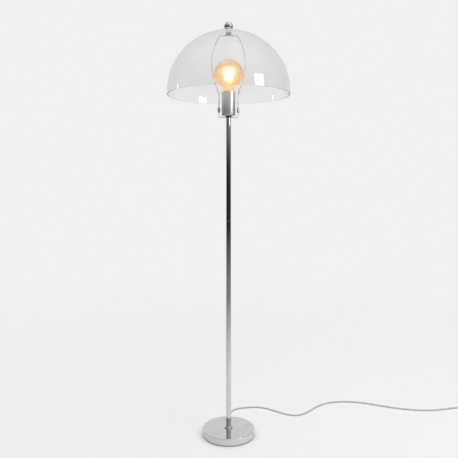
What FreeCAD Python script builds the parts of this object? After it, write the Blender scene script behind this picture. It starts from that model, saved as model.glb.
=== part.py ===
import FreeCAD, Part
import math
import os

# Floor lamp with a clear dome shade on a wire harp. Millimetres, +Z up.
# The origin lies on the floor under the pole, and -Y is the front.

Vec = FreeCAD.Vector
X_AXIS, Y_AXIS, Z_AXIS = Vec(1, 0, 0), Vec(0, 1, 0), Vec(0, 0, 1)

# ---------------------------------------------------------------- fits
running_fit = 0.08      # radial clearance of a piece that slides or turns on another
seat_fit = 0.1          # radial clearance of a piece that stays in its seat
moving_gap = 0.2        # between flat faces of pieces that move apart
free_gap = 0.3          # least distance between curved faces that move past each other

# ---------------------------------------------------------------- base
base_diameter = 168.0
cover_height = 20.5
cover_wall = 1.0
cover_edge_radius = 1.6
pad_thickness = 2.5
pad_margin = 5.0                # pad's edge inside the cover's edge
plate_thickness = 1.2
weight_web = 3.5                # iron above the nut's cavity
cavity_diameter = 46.0
channel_width = 9.0             # for the lead, from the cavity to the rear
plate_screw_count = 3
plate_screw_circle = 120.0
plate_screw_diameter = 4.0
plate_screw_length = 9.0

# ---------------------------------------------------------------- threaded tubes and nuts
nipple_diameter = 10.0
nipple_bore = 7.5
nut_across_flats = 17.0
nut_height = 3.5
washer_diameter = 22.0
washer_thickness = 1.5
small_screw_diameter = 3.0      # in the cord clamp and in the lamp holder's bridge
small_screw_length = 7.5

# ---------------------------------------------------------------- pole
pole_diameter = 16.0
pole_wall = 1.0
section_length = 336.0
bush_length = 15.0
collar_diameter = 26.0
collar_height = 4.5
collar_edge_radius = 1.5

# ---------------------------------------------------------------- mains lead
cord_diameter = 5.5
cord_exit_height = 8.0
lead_bend_radius = 8.5
lead_free_end = 14.0            # jacket that stands above the top nipple
core_diameter = 2.0
core_spacing = 2.6
grommet_flange_diameter = 11.0
grommet_flange_thickness = 3.0
grommet_sleeve_diameter = 8.4
grommet_sleeve_length = 8.0
grommet_tail_length = 25.0
grommet_tip_diameter = 6.6
grommet_grooves = 5
grommet_groove_depth = 0.5
clamp_length = 30.0
clamp_width = 11.0
clamp_thickness = 1.4
clamp_screw_spacing = 21.0

# The free lead's route on the floor, from the grommet's tip into the foot switch.
lead_route = [
    (0, 112, 8.0), (0, 130, 8.0), (2, 158, 2.8), (20, 191, 2.8), (66, 207, 2.8),
    (119, 209, 2.8), (156, 184, 2.8), (196, 150, 2.8), (238, 134, 2.8), (278, 160, 2.8),
    (312, 204, 2.8), (360, 246, 2.8), (428, 262, 2.8), (500, 248, 2.8), (570, 214, 2.8),
    (642, 187, 2.8), (716, 178, 2.8), (786, 192, 2.8), (838, 208, 2.8), (871, 192, 3.6),
    (875, 153, 7.0), (875, 116, 7.0),
]
# From inside the foot switch to the put-away coil, and from the coil into the plug.
tail_route = [(875, 76, 7.0), (875, 48, 7.0), (876.5, 20, 3.8), (875, 5, 3.8), (875, -8, 3.8)]
plug_route = [(875, -19, 10.2), (875, -36, 10.2), (872, -59, 6.85), (872, -76, 6.85)]
coil_middle_radius = 31.0
coil_pitch = 6.4                # between neighbouring turns, and between the two layers
coil_turns_per_layer = 2
tie_width = 8.0                 # strap round the coil's turns
tie_thickness = 0.8

# ---------------------------------------------------------------- foot switch
switch_length = 76.0
switch_width = 38.0
switch_height = 19.0
switch_wall = 2.0
switch_edge_radius = 2.5
switch_grip = 18.0              # length of lead inside each end of the housing
button_diameter = 22.0
button_proud = 5.0
button_flange = 1.5             # how far its flange reaches past the cap
button_flange_thickness = 1.8
button_travel = 3.5
button_edge_radius = 1.5
spring_diameter = 12.0
spring_wire = 0.8
spring_turns = 3
block_length = 36.0
block_width = 20.0
terminal_length = 6.0
terminal_width = 12.0
switch_screw_diameter = 3.0
switch_screw_across = 25.0
switch_screw_along = 42.0

# ---------------------------------------------------------------- plug
plug_length = 36.0
plug_width = 35.0
plug_thickness = 13.7
plug_neck_width = 17.0
plug_shoulder_length = 15.0     # full-width stretch behind the pins
plug_edge_radius = 1.5
plug_relief_length = 12.0
plug_relief_diameter = 9.0
pin_diameter = 4.0
pin_spacing = 19.0
pin_length = 19.0
pin_sleeve_length = 10.0
pin_sleeve_diameter = 3.6
pin_core_diameter = 3.0
pin_root_length = 12.0          # inside the plug's body
pin_tip_radius = 0.9

# ---------------------------------------------------------------- saddle and ferrules
saddle_thickness = 1.5
saddle_width = 12.0
saddle_bend_radius = 7.0        # inside of the bend
saddle_arm_height = 17.3        # from the strip's top to the arm's shoulder
harp_leg_spacing = 62.6
tongue_diameter = 5.0
tongue_length = 13.0
tongue_root = 3.0
ferrule_diameter = 9.4
ferrule_length = 14.0

# ---------------------------------------------------------------- harp
harp_wire_diameter = 3.0
harp_height = 267.5             # from the saddle's strip to the wire's top
harp_knee_height = 58.0         # above the saddle's shoulder
harp_knee_radius = 12.0
harp_flare_angle = 18.0
harp_top_width = 56.0
harp_corner_radius = 4.0
bulb_side_gap = 5.8             # between the globe and the wire at its widest
clip_length = 26.0
clip_width = 9.0
clip_thickness = 1.2
clip_ear_height = 6.5
stud_diameter = 6.0
harp_nut_across_flats = 13.0
harp_nut_height = 6.6

# ---------------------------------------------------------------- lamp holder
holder_diameter = 45.0
holder_height = 78.5
holder_wall = 0.8
holder_edge_radius = 3.0
bridge_thickness = 1.0
bridge_width = 10.0
bridge_span = 27.0              # outside of its two arms
bridge_tab = 6.5
insert_diameter = 34.0
insert_below_rim = 6.0
insert_floor_thickness = 12.0
shell_wall = 0.6
shell_above_floor = 7.0
shell_below_mouth = 1.5
terminal_diameter = 4.4
terminal_height = 5.0
terminal_spacing = 18.0
ring_thickness = 3.0
contact_width = 6.0
contact_strip = 0.8

# ---------------------------------------------------------------- bulb
bulb_diameter = 95.0
bulb_length = 140.0
bulb_glass = 1.0
bulb_insertion = 33.5           # from the holder's rim down to the bulb's tip
bulb_neck_diameter = 34.0
bulb_neck_fillet = 22.0
cap_diameter = 26.3
cap_wall = 0.6
cap_height = 20.0
cap_thread_pitch = 3.62
cap_thread_depth = 1.0
cap_threads = 4
cap_flare = 1.6                 # taper where the glass leaves the cap
cap_tip_diameter = 9.6
cap_tip_height = 1.5
cap_insulator_height = 3.5
cap_clearance = 0.5
stem_diameter = 6.4
stem_height = 42.0              # above the cap
filament_count = 6
filament_diameter = 1.6
filament_length = 36.0
filament_bottom_radius = 6.0
filament_top_radius = 13.0
support_diameter = 1.0

# ---------------------------------------------------------------- shade and finial
shade_diameter = 400.0
shade_wall = 2.5
shade_skirt = 9.8               # straight band under the dome
shade_hole_diameter = 8.0
seat_diameter = 22.0
seat_thickness = 2.0
shade_washer_diameter = 18.0
shade_washer_thickness = 1.4
finial_diameter = 30.0
finial_foot_diameter = 14.0
finial_thread_depth = 11.0
stud_engagement = 9.5

# ---------------------------------------------------------------- heights that follow
cover_bottom = pad_thickness
cover_top = cover_bottom + cover_height
plate_top = cover_bottom + plate_thickness
weight_top = cover_top - cover_wall
cavity_top = weight_top - weight_web
base_washer_bottom = cavity_top - washer_thickness
base_nut_bottom = base_washer_bottom - nut_height

section_bottoms = [cover_top + section * section_length for section in range(3)]
pole_top = cover_top + 3 * section_length
saddle_top = pole_top + saddle_thickness
saddle_nut_top = saddle_top + nut_height
holder_bottom = saddle_nut_top + washer_thickness
holder_top = holder_bottom + holder_height
bridge_bottom = holder_bottom + holder_wall
holder_nut_bottom = bridge_bottom + bridge_thickness
top_nipple_top = holder_nut_bottom + nut_height + 1.0
lead_top = top_nipple_top + lead_free_end

bulb_tip = holder_top - bulb_insertion
insulator_bottom = bulb_tip + cap_tip_height
cap_bottom = insulator_bottom + cap_insulator_height
cap_top = cap_bottom + cap_height
globe_centre = bulb_tip + bulb_length - bulb_diameter / 2
insert_top = holder_top - insert_below_rim
contact_top = bulb_tip - free_gap
insert_floor = bulb_tip - 4.5
insert_bottom = insert_floor - insert_floor_thickness
shell_bottom = insert_floor + shell_above_floor
shell_top = insert_top - shell_below_mouth

saddle_shoulder = saddle_top + saddle_arm_height
tongue_top = saddle_shoulder + tongue_length
ferrule_bottom = saddle_shoulder + moving_gap
harp_knee = saddle_shoulder + harp_knee_height
harp_top = saddle_top + harp_height
clip_top = harp_top + harp_wire_diameter / 2 + clip_thickness
harp_nut_top = clip_top + harp_nut_height
seat_bottom = harp_nut_top + moving_gap
seat_top = seat_bottom + seat_thickness

shade_radius = shade_diameter / 2
shade_inner_radius = shade_radius - shade_wall
seat_sag = shade_inner_radius - math.sqrt(shade_inner_radius**2 - (seat_diameter / 2)**2)
shade_centre = seat_top + moving_gap + seat_sag - shade_inner_radius
shade_crown = shade_centre + shade_radius
shade_washer_bottom = shade_crown + moving_gap
shade_washer_top = shade_washer_bottom + shade_washer_thickness
finial_bottom = shade_washer_top + moving_gap
finial_drop = math.sqrt((finial_diameter / 2)**2 - (finial_foot_diameter / 2)**2)
finial_centre = finial_bottom + finial_drop
stud_top = finial_bottom + stud_engagement

cord_radius = cord_diameter / 2
base_radius = base_diameter / 2
clamp_middle_y = (base_radius + cavity_diameter / 2) / 2
clamp_bottom = cord_exit_height - cord_radius - clamp_thickness
tab_bottom = insert_bottom - bridge_thickness
tab_screw_y = bridge_span / 2 - bridge_tab / 2
small_screw_places = [(-clamp_screw_spacing / 2, clamp_middle_y, clamp_bottom),
                      (clamp_screw_spacing / 2, clamp_middle_y, clamp_bottom),
                      (0, -tab_screw_y, tab_bottom), (0, tab_screw_y, tab_bottom)]
harp_leg = harp_leg_spacing / 2
harp_half_width = bulb_diameter / 2 + bulb_side_gap + harp_wire_diameter / 2


# ================================================================ tools
def cylinder(diameter, bottom, top, x=0.0, y=0.0):
    """Upright cylinder between two heights."""
    return Part.makeCylinder(diameter / 2, top - bottom, Vec(x, y, bottom))


def ring(outer, inner, bottom, top, x=0.0, y=0.0):
    """Upright ring between two diameters and two heights."""
    bore = cylinder(inner, bottom - 1, top + 1, x, y)
    return cylinder(outer, bottom, top, x, y).cut(bore)


def bar(low, high):
    """Box from its lowest to its highest corner."""
    size = Vec(*high) - Vec(*low)
    return Part.makeBox(size.x, size.y, size.z, Vec(*low))


def cross_cylinder(diameter, start, end):
    """Cylinder between two points."""
    start, end = Vec(*start), Vec(*end)
    return Part.makeCylinder(diameter / 2, (end - start).Length, start, end - start)


def joined(first, *others):
    """One solid from pieces that meet."""
    shape = first.fuse(list(others)).removeSplitter()
    return shape.Solids[0] if len(shape.Solids) == 1 else shape


def bend(before, corner, after, radius):
    """Start, middle and end of the arc that rounds a corner, within 0.45 of each run."""
    back, ahead = before - corner, after - corner
    room = 0.45 * min(back.Length, ahead.Length)
    back.normalize()
    ahead.normalize()
    half = back.getAngle(ahead) / 2
    reach = min(radius / math.tan(half), room)
    radius = reach * math.tan(half)
    towards = back + ahead
    towards.normalize()
    centre = corner + towards * (radius / math.sin(half))
    return corner + back * reach, centre - towards * radius, corner + ahead * reach


def outline(corners):
    """Closed wire in the XZ plane through (x, z) or (x, z, corner radius)."""
    points = [Vec(corner[0], 0, corner[1]) for corner in corners]
    radii = [corner[2] if len(corner) > 2 else 0.0 for corner in corners]
    stops = []
    for index, point in enumerate(points):
        if radii[index] > 0:
            following = points[(index + 1) % len(points)]
            stops.append(bend(points[index - 1], point, following, radii[index]))
        else:
            stops.append((point,))
    edges = []
    for index, stop in enumerate(stops):
        if len(stop) == 3:
            edges.append(Part.Arc(*stop).toShape())
        following = stops[(index + 1) % len(stops)][0]
        if (following - stop[-1]).Length > 1e-6:
            edges.append(Part.LineSegment(stop[-1], following).toShape())
    return Part.Wire(edges)


def turned(corners):
    """Solid of revolution about the Z axis from a half outline."""
    return Part.Face(outline(corners)).revolve(Vec(0, 0, 0), Z_AXIS, 360)


def turned_from_edges(edges):
    """Solid of revolution about the Z axis from finished edges."""
    return Part.Face(Part.Wire(edges)).revolve(Vec(0, 0, 0), Z_AXIS, 360)


def plate(corners, near, far):
    """Slab with an XZ outline, from Y = near to Y = far."""
    face = Part.Face(outline(corners))
    face.translate(Vec(0, near, 0))
    return face.extrude(Vec(0, far - near, 0))


def laid_along_y(shape, x, y, z):
    """Piece that was turned about Z, laid down so that its +Z end points to -Y."""
    shape = shape.copy()
    shape.rotate(Vec(0, 0, 0), X_AXIS, 90)
    shape.translate(Vec(x, y, z))
    return shape


def line(start, end):
    return Part.LineSegment(start, end).toShape()


def arc(start, middle, end):
    return Part.Arc(start, middle, end).toShape()


def hexagon(across_flats, bottom, top):
    """Upright hexagonal prism on the lamp's axis."""
    radius = across_flats / math.sqrt(3)
    corners = [Vec(radius * math.cos(math.radians(60 * step)),
                   radius * math.sin(math.radians(60 * step)), bottom) for step in range(7)]
    return Part.Face(Part.makePolygon(corners)).extrude(Vec(0, 0, top - bottom))


def nut(across_flats, thread, bottom, top):
    """Hexagon nut with its corners turned off, on the lamp's axis."""
    corner = across_flats / math.sqrt(3)
    cut = corner - across_flats / 2
    height = top - bottom
    blank = turned([(0, bottom), (corner - cut, bottom), (corner, bottom + min(cut, height / 4)),
                    (corner, top - min(cut, height / 4)), (corner - cut, top), (0, top)])
    hole = cylinder(thread + 2 * seat_fit, bottom - 1, top + 1)
    return hexagon(across_flats, bottom, top).common(blank).cut(hole).Solids[0]


def countersunk_screw(diameter, length, x, y, bottom):
    """Screw whose flat head faces down at the height bottom."""
    head = diameter * 0.95
    shape = turned([(0, bottom), (head, bottom), (diameter / 2, bottom + diameter * 0.5),
                    (diameter / 2, bottom + length), (0, bottom + length)])
    shape.translate(Vec(x, y, 0))
    return shape


def screw_seat(diameter, length, x, y, bottom):
    """What a countersunk screw leaves in the pieces that it holds."""
    wide = diameter + 2 * seat_fit
    return countersunk_screw(wide, length + 1, x, y, bottom - seat_fit)


def small_screws():
    """The identical small screws of the cord clamp and the lamp holder."""
    return [countersunk_screw(small_screw_diameter, small_screw_length, *place)
            for place in small_screw_places]


def small_screw_seats():
    """Room for the small screws in the pieces that they hold."""
    return [screw_seat(small_screw_diameter, small_screw_length, *place)
            for place in small_screw_places]


def rounded_path(route):
    """Straight runs joined by tangent arcs as large as the runs allow."""
    points = [Vec(*point) for point in route]
    edges, start, radii = [], points[0], []
    for before, corner, after in zip(points, points[1:], points[2:]):
        entry, middle, leave = bend(before, corner, after, math.inf)
        edges.append(line(start, entry))
        edges.append(arc(entry, middle, leave))
        radii.append(edges[-1].Curve.Radius)
        start = leave
    edges.append(line(start, points[-1]))
    return edges, radii


def swept(edges, diameter):
    """Round bar along tangent edges."""
    path = Part.Wire(edges)
    start = path.OrderedVertexes[0].Point
    heading = edges[0].tangentAt(edges[0].FirstParameter)
    section = Part.Wire([Part.makeCircle(diameter / 2, start, heading)])
    shape = path.makePipeShell([section], True, False)
    shape = shape.Solids[0] if shape.Solids else Part.Solid(shape.Shells[0])
    if shape.Volume < 0:
        shape.reverse()
    return shape


def report_tube(name, shape, edges, diameter):
    """Print how near a tube's volume is to its section times its length."""
    length = sum(edge.Length for edge in edges)
    expected = math.pi * diameter**2 / 4 * length
    print(f"{name}: length {length:.1f}, volume ratio {shape.Volume / expected:.5f}")


def free_cord(name, route):
    """Cord along a route on the floor."""
    edges, radii = rounded_path(route)
    shape = swept(edges, cord_diameter)
    report_tube(name, shape, edges, cord_diameter)
    print(f"{name}: bend radii", [round(radius) for radius in radii])
    return shape


def half_turn(centre_x, centre_y, radius, start_height, end_height, front):
    """Arcs of a clockwise half turn, from +X to -X round the front, or back round the rear.

    A level half turn is one arc. A climbing one is two quarter turns that share a tangent.
    """
    side = 1 if front else -1
    start = Vec(centre_x + side * radius, centre_y, start_height)
    end = Vec(centre_x - side * radius, centre_y, end_height)
    climb = end_height - start_height
    reach = math.sqrt(radius**2 + climb**2 / 4)
    middle = Vec(centre_x, centre_y - side * reach, (start_height + end_height) / 2)
    if climb == 0:
        return [arc(start, middle, end)]
    heading = Vec(0, -side, 0)
    return [Part.Arc(start, quarter_point(start, middle, heading), middle).toShape(),
            Part.Arc(middle, quarter_point(end, middle, heading), end).toShape()]


def quarter_point(end, middle, heading):
    """Middle of the arc between two points that runs along heading at its outer end."""
    chord = middle - end
    length = chord.Length
    chord.normalize()
    sideways = heading - chord * heading.dot(chord)
    sideways.normalize()
    half_angle = math.acos(abs(heading.dot(chord)))
    rise = length / 2 * math.tan(half_angle / 2)
    return (middle + end) * 0.5 + sideways * rise


# ================================================================ base
def base_pieces():
    rear = base_radius + 1
    inner = base_diameter - 2 * cover_wall
    pieces = {}

    pieces["foot_pad"] = cylinder(base_diameter - 2 * pad_margin, 0, pad_thickness)

    screws = []
    for index in range(plate_screw_count):
        angle = math.radians(90 + 180 / plate_screw_count + 360 / plate_screw_count * index)
        screws.append((plate_screw_circle / 2 * math.cos(angle),
                       plate_screw_circle / 2 * math.sin(angle)))
    seats = [screw_seat(plate_screw_diameter, plate_screw_length, x, y, cover_bottom)
             for x, y in screws]
    pieces["base_plate_screws"] = Part.makeCompound(
        [countersunk_screw(plate_screw_diameter, plate_screw_length, x, y, cover_bottom)
         for x, y in screws])

    disc = cylinder(inner - 2 * seat_fit, cover_bottom, plate_top)
    pieces["base_plate"] = disc.cut(seats)

    strap = bar((-clamp_length / 2, clamp_middle_y - clamp_width / 2, clamp_bottom),
                (clamp_length / 2, clamp_middle_y + clamp_width / 2,
                 clamp_bottom + clamp_thickness))
    pieces["cord_clamp"] = strap.cut(small_screw_seats())
    pieces["small_screws"] = Part.makeCompound(small_screws())

    channel_top = cord_exit_height + channel_width / 2
    recess = bar((-clamp_length / 2 - seat_fit, clamp_middle_y - clamp_width / 2 - seat_fit, 0),
                 (clamp_length / 2 + seat_fit, clamp_middle_y + clamp_width / 2 + seat_fit,
                  clamp_bottom + clamp_thickness))
    channel = bar((-channel_width / 2, 0, 0), (channel_width / 2, rear, channel_top))
    rim = inner / 2 - 2 * seat_fit
    weight = turned([(0, plate_top), (rim, plate_top), (rim, weight_top, cover_edge_radius),
                     (0, weight_top)])
    weight = weight.cut([cylinder(cavity_diameter, 0, cavity_top), channel, recess,
                         cylinder(nipple_diameter + 2 * seat_fit, 0, cover_top),
                         *seats, *small_screw_seats()])
    pieces["base_weight"] = weight.Solids[0]

    inner_edge = max(cover_edge_radius - cover_wall, 0.2)
    cover = turned([(nipple_diameter / 2 + seat_fit, cover_top),
                    (base_radius, cover_top, cover_edge_radius), (base_radius, cover_bottom),
                    (base_radius - cover_wall, cover_bottom),
                    (base_radius - cover_wall, cover_top - cover_wall, inner_edge),
                    (nipple_diameter / 2 + seat_fit, cover_top - cover_wall)])
    rear_hole = cross_cylinder(grommet_sleeve_diameter + 2 * seat_fit,
                               (0, base_radius / 2, cord_exit_height),
                               (0, rear, cord_exit_height))
    pieces["base_cover"] = cover.cut(rear_hole)

    pieces["base_nipple"] = ring(nipple_diameter, nipple_bore, base_nut_bottom,
                                 cover_top + bush_length)
    pieces["nipple_washers"] = Part.makeCompound(
        [ring(washer_diameter, nipple_diameter + 2 * seat_fit, bottom,
              bottom + washer_thickness) for bottom in (base_washer_bottom, saddle_nut_top)])
    pole_hole = pole_diameter / 2 + seat_fit
    pieces["base_collar"] = turned([(pole_hole, cover_top), (collar_diameter / 2, cover_top),
                                    (collar_diameter / 2, cover_top + collar_height,
                                     collar_edge_radius),
                                    (pole_hole, cover_top + collar_height)])
    pieces["cord_grommet"] = grommet()
    return pieces


def grommet():
    """Strain relief: sleeve through the cover, flange outside it and a grooved tail."""
    bore = cord_radius + seat_fit
    sleeve = grommet_sleeve_diameter / 2
    flange = grommet_flange_diameter / 2
    tip = grommet_tip_diameter / 2
    tail_start = grommet_flange_thickness
    corners = [(bore, -grommet_sleeve_length), (sleeve, -grommet_sleeve_length), (sleeve, 0),
               (flange, 0), (flange, tail_start, 1.0)]
    step = grommet_tail_length / (2 * grommet_grooves + 1)
    for index in range(2 * grommet_grooves + 1):
        start = tail_start + index * step
        radius = sleeve + (tip - sleeve) * index / (2 * grommet_grooves)
        radius -= grommet_groove_depth if index % 2 else 0
        corners += [(radius, start), (radius, start + step)]
    corners.append((bore, tail_start + grommet_tail_length))
    shape = laid_along_y(turned(corners), 0, 0, 0)
    shape.rotate(Vec(0, 0, 0), Z_AXIS, 180)
    shape.translate(Vec(0, base_radius + 0.05, cord_exit_height))
    return shape


# ================================================================ pole
def pole_pieces():
    bore = pole_diameter - 2 * pole_wall
    bush = bore - 2 * seat_fit
    thread = nipple_diameter + 2 * seat_fit
    pieces = {}
    bushes = []
    for name, bottom in zip(("pole_lower", "pole_middle", "pole_upper"), section_bottoms):
        top = bottom + section_length
        pieces[name] = ring(pole_diameter, bore, bottom, top)
        bushes.append(ring(bush, thread, bottom, bottom + bush_length))
        bushes.append(ring(bush, thread, top - bush_length, top))
    pieces["pole_bushes"] = Part.makeCompound(bushes)
    pieces["pole_nipples"] = Part.makeCompound(
        [ring(nipple_diameter, nipple_bore, joint - bush_length, joint + bush_length)
         for joint in section_bottoms[1:]])
    pieces["top_nipple"] = ring(nipple_diameter, nipple_bore, pole_top - bush_length,
                                top_nipple_top)
    pieces["lock_nuts"] = Part.makeCompound(
        [nut(nut_across_flats, nipple_diameter, bottom, bottom + nut_height)
         for bottom in (base_nut_bottom, saddle_top, holder_nut_bottom)])

    start = Vec(*lead_route[0])
    corner = Vec(0, 0, cord_exit_height)
    entry, middle, leave = bend(start, corner, Vec(0, 0, lead_top), lead_bend_radius)
    edges = [line(start, entry), arc(entry, middle, leave), line(leave, Vec(0, 0, lead_top))]
    pieces["pole_lead"] = swept(edges, cord_diameter)
    report_tube("pole_lead", pieces["pole_lead"], edges, cord_diameter)
    return pieces


# ================================================================ saddle, ferrules and harp
def saddle():
    """U strip with a half-round tongue on each arm's shoulder."""
    outer = harp_leg + saddle_thickness / 2
    inner = harp_leg - saddle_thickness / 2
    bend_outer = saddle_bend_radius + saddle_thickness
    half = saddle_width / 2
    strip = plate([(-outer, saddle_shoulder), (-outer, pole_top, bend_outer),
                   (outer, pole_top, bend_outer), (outer, saddle_shoulder),
                   (inner, saddle_shoulder), (inner, saddle_top, saddle_bend_radius),
                   (-inner, saddle_top, saddle_bend_radius), (-inner, saddle_shoulder)],
                  -half, half)
    tongues = [half_round(side * harp_leg, saddle_shoulder - tongue_root, tongue_top, 1)
               for side in (-1, 1)]
    hole = cylinder(nipple_diameter + 2 * seat_fit, pole_top - 1, saddle_top + 1)
    return joined(strip, *tongues).cut(hole)


def half_round(x, bottom, top, side):
    """Half of a round bar: the half behind the XZ plane for side 1, in front for -1."""
    radius = tongue_diameter / 2
    near, far = sorted((side * seat_fit / 2, side * (radius + 1)))
    block = bar((x - radius - 1, near, bottom), (x + radius + 1, far, top))
    return cylinder(tongue_diameter, bottom, top, x).common(block)


def ferrule(x):
    bore = tongue_diameter + 2 * running_fit
    return ring(ferrule_diameter, bore, ferrule_bottom, ferrule_bottom + ferrule_length, x)


def harp_side(side):
    """Edges of one side of the harp's wire, from its foot up to the middle of its top.

    The bow's radius follows from the knee, the flare, the widest point and the top corner.
    """
    flare = math.radians(harp_flare_angle)
    slope = math.tan(flare / 2)
    inward = harp_half_width - harp_top_width / 2
    rise = harp_top - harp_knee - (harp_half_width - harp_leg) / math.tan(flare)
    term = rise * slope + inward
    bow = (term - math.sqrt(2 * rise * slope * inward + inward**2 * (1 - slope**2))) / slope**2
    centre_x = harp_half_width - bow
    centre_z = harp_knee + bow * slope + (harp_half_width - harp_leg) / math.tan(flare)

    def on_bow(angle):
        return Vec(side * (centre_x + bow * math.cos(angle)), 0,
                   centre_z + bow * math.sin(angle))

    inside = bow - harp_corner_radius
    corner_z = harp_top - harp_corner_radius
    corner_x = centre_x + math.sqrt(inside**2 - (corner_z - centre_z)**2)
    corner_angle = math.atan2(corner_z - centre_z, corner_x - centre_x)
    corner_middle = (corner_angle + math.pi / 2) / 2
    bow_start = on_bow(-flare)
    bow_end = on_bow(corner_angle)

    foot = Vec(side * harp_leg, 0, tongue_top + 0.5)
    knee = Vec(side * harp_leg, 0, harp_knee)
    entry, middle, leave = bend(foot, knee, bow_start, harp_knee_radius)
    top = Vec(side * corner_x, 0, harp_top)
    over = Vec(side * (corner_x + harp_corner_radius * math.cos(corner_middle)), 0,
               corner_z + harp_corner_radius * math.sin(corner_middle))
    return [line(foot, entry), arc(entry, middle, leave), line(leave, bow_start),
            arc(bow_start, on_bow((corner_angle - flare) / 2), bow_end),
            arc(bow_end, over, top), line(top, Vec(0, 0, harp_top))]


def harp_wire():
    """Bowed wire with a half-round foot at each end."""
    sides = []
    for side in (-1, 1):
        x = side * harp_leg
        feet = half_round(x, saddle_shoulder + moving_gap, tongue_top + 0.5, -1)
        neck = cylinder(tongue_diameter, tongue_top + 0.4, tongue_top + 2.5, x)
        sides += [swept(harp_side(side), harp_wire_diameter), feet, neck]
    return joined(*sides)


def harp_pieces():
    pieces = {"saddle": saddle(), "harp_wire": harp_wire(),
              "ferrule_left": ferrule(-harp_leg), "ferrule_right": ferrule(harp_leg)}
    half = clip_length / 2
    under = clip_top - clip_thickness
    ear = clip_top - clip_ear_height
    clip = plate([(-half, clip_top, 0.8), (half, clip_top, 0.8), (half, ear),
                  (half - clip_thickness, ear), (half - clip_thickness, under),
                  (-half + clip_thickness, under), (-half + clip_thickness, ear),
                  (-half, ear)], -clip_width / 2, clip_width / 2)
    wire_slot = harp_wire_diameter / 2 + seat_fit
    slot = bar((-half - 1, -wire_slot, ear - 1), (half + 1, wire_slot, harp_top))
    wire_hole = cross_cylinder(2 * wire_slot, (-half - 1, 0, harp_top), (half + 1, 0, harp_top))
    pieces["harp_clip"] = clip.cut([slot, wire_hole])
    pieces["harp_stud"] = turned([(0, clip_top), (stud_diameter / 2, clip_top),
                                  (stud_diameter / 2, stud_top, 0.6), (0, stud_top)])
    pieces["harp_nut"] = nut(harp_nut_across_flats, stud_diameter, clip_top, harp_nut_top)
    return pieces


# ================================================================ lamp holder
def holder_pieces():
    hole = nipple_diameter / 2 + seat_fit
    outer = holder_diameter / 2
    inner = outer - holder_wall
    inner_edge = max(holder_edge_radius - holder_wall, 0.2)
    pieces = {}
    pieces["socket_cover"] = turned([(hole, holder_bottom),
                                     (outer, holder_bottom, holder_edge_radius),
                                     (outer, holder_top), (inner, holder_top),
                                     (inner, bridge_bottom, inner_edge),
                                     (hole, bridge_bottom)])

    span = bridge_span / 2
    half = bridge_width / 2
    arms = []
    for side in (-1, 1):
        near, far = sorted((side * (span - bridge_thickness), side * span))
        tab_near, tab_far = sorted((side * (span - bridge_tab), side * span))
        arms.append(bar((-half, near, bridge_bottom), (half, far, insert_bottom)))
        arms.append(bar((-half, tab_near, tab_bottom), (half, tab_far, insert_bottom)))
    strap = bar((-half, -span, bridge_bottom), (half, span, bridge_bottom + bridge_thickness))
    eye = cylinder(washer_diameter, bridge_bottom, bridge_bottom + bridge_thickness)
    bridge = joined(strap, eye, *arms)
    thread = cylinder(2 * hole, bridge_bottom - 1, bridge_bottom + bridge_thickness + 1)
    pieces["socket_bridge"] = bridge.cut([thread, *small_screw_seats()])

    cap_room = cap_diameter + 2 * cap_clearance
    shell_outer = cap_room + 2 * shell_wall
    terminals = [(side * terminal_spacing / 2, 0) for side in (-1, 1)]
    insert = cylinder(insert_diameter, insert_bottom, insert_top)
    insert = insert.cut([cylinder(shell_outer + 2 * seat_fit, insert_floor, insert_top + 1),
                         *[cylinder(terminal_diameter + 2 * seat_fit, insert_bottom - 1,
                                    insert_bottom + terminal_height, x, y)
                           for x, y in terminals],
                         *small_screw_seats()])
    pieces["socket_insert"] = insert.Solids[0]
    pieces["socket_shell"] = ring(shell_outer, cap_room, shell_bottom, shell_top)
    pieces["socket_terminals"] = Part.makeCompound(
        [cylinder(terminal_diameter, insert_bottom, insert_bottom + terminal_height, x, y)
         for x, y in terminals])
    pieces["socket_ring"] = ring(2 * inner - 2 * seat_fit, insert_diameter + 2 * seat_fit,
                                 insert_top - ring_thickness, insert_top)

    rise = contact_top - insert_floor
    strip = plate([(-9, insert_floor), (0, insert_floor), (4, contact_top - contact_strip),
                   (9, contact_top - contact_strip), (9, contact_top),
                   (3.6, contact_top), (-0.4, insert_floor + contact_strip),
                   (-9, insert_floor + contact_strip)], -contact_width / 2, contact_width / 2)
    if rise > contact_strip:
        pieces["socket_contact"] = strip

    cores = []
    for side in (-1, 1):
        near, far = side * core_spacing / 2, side * terminal_spacing / 2
        span_z = insert_bottom - lead_top
        route = [(near, 0, lead_top), (near, 0, lead_top + span_z * 0.3),
                 (far, 0, lead_top + span_z * 0.7), (far, 0, insert_bottom)]
        edges = rounded_path(route)[0]
        cores.append(swept(edges, core_diameter))
    pieces["socket_wires"] = Part.makeCompound(cores)
    return pieces


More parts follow.
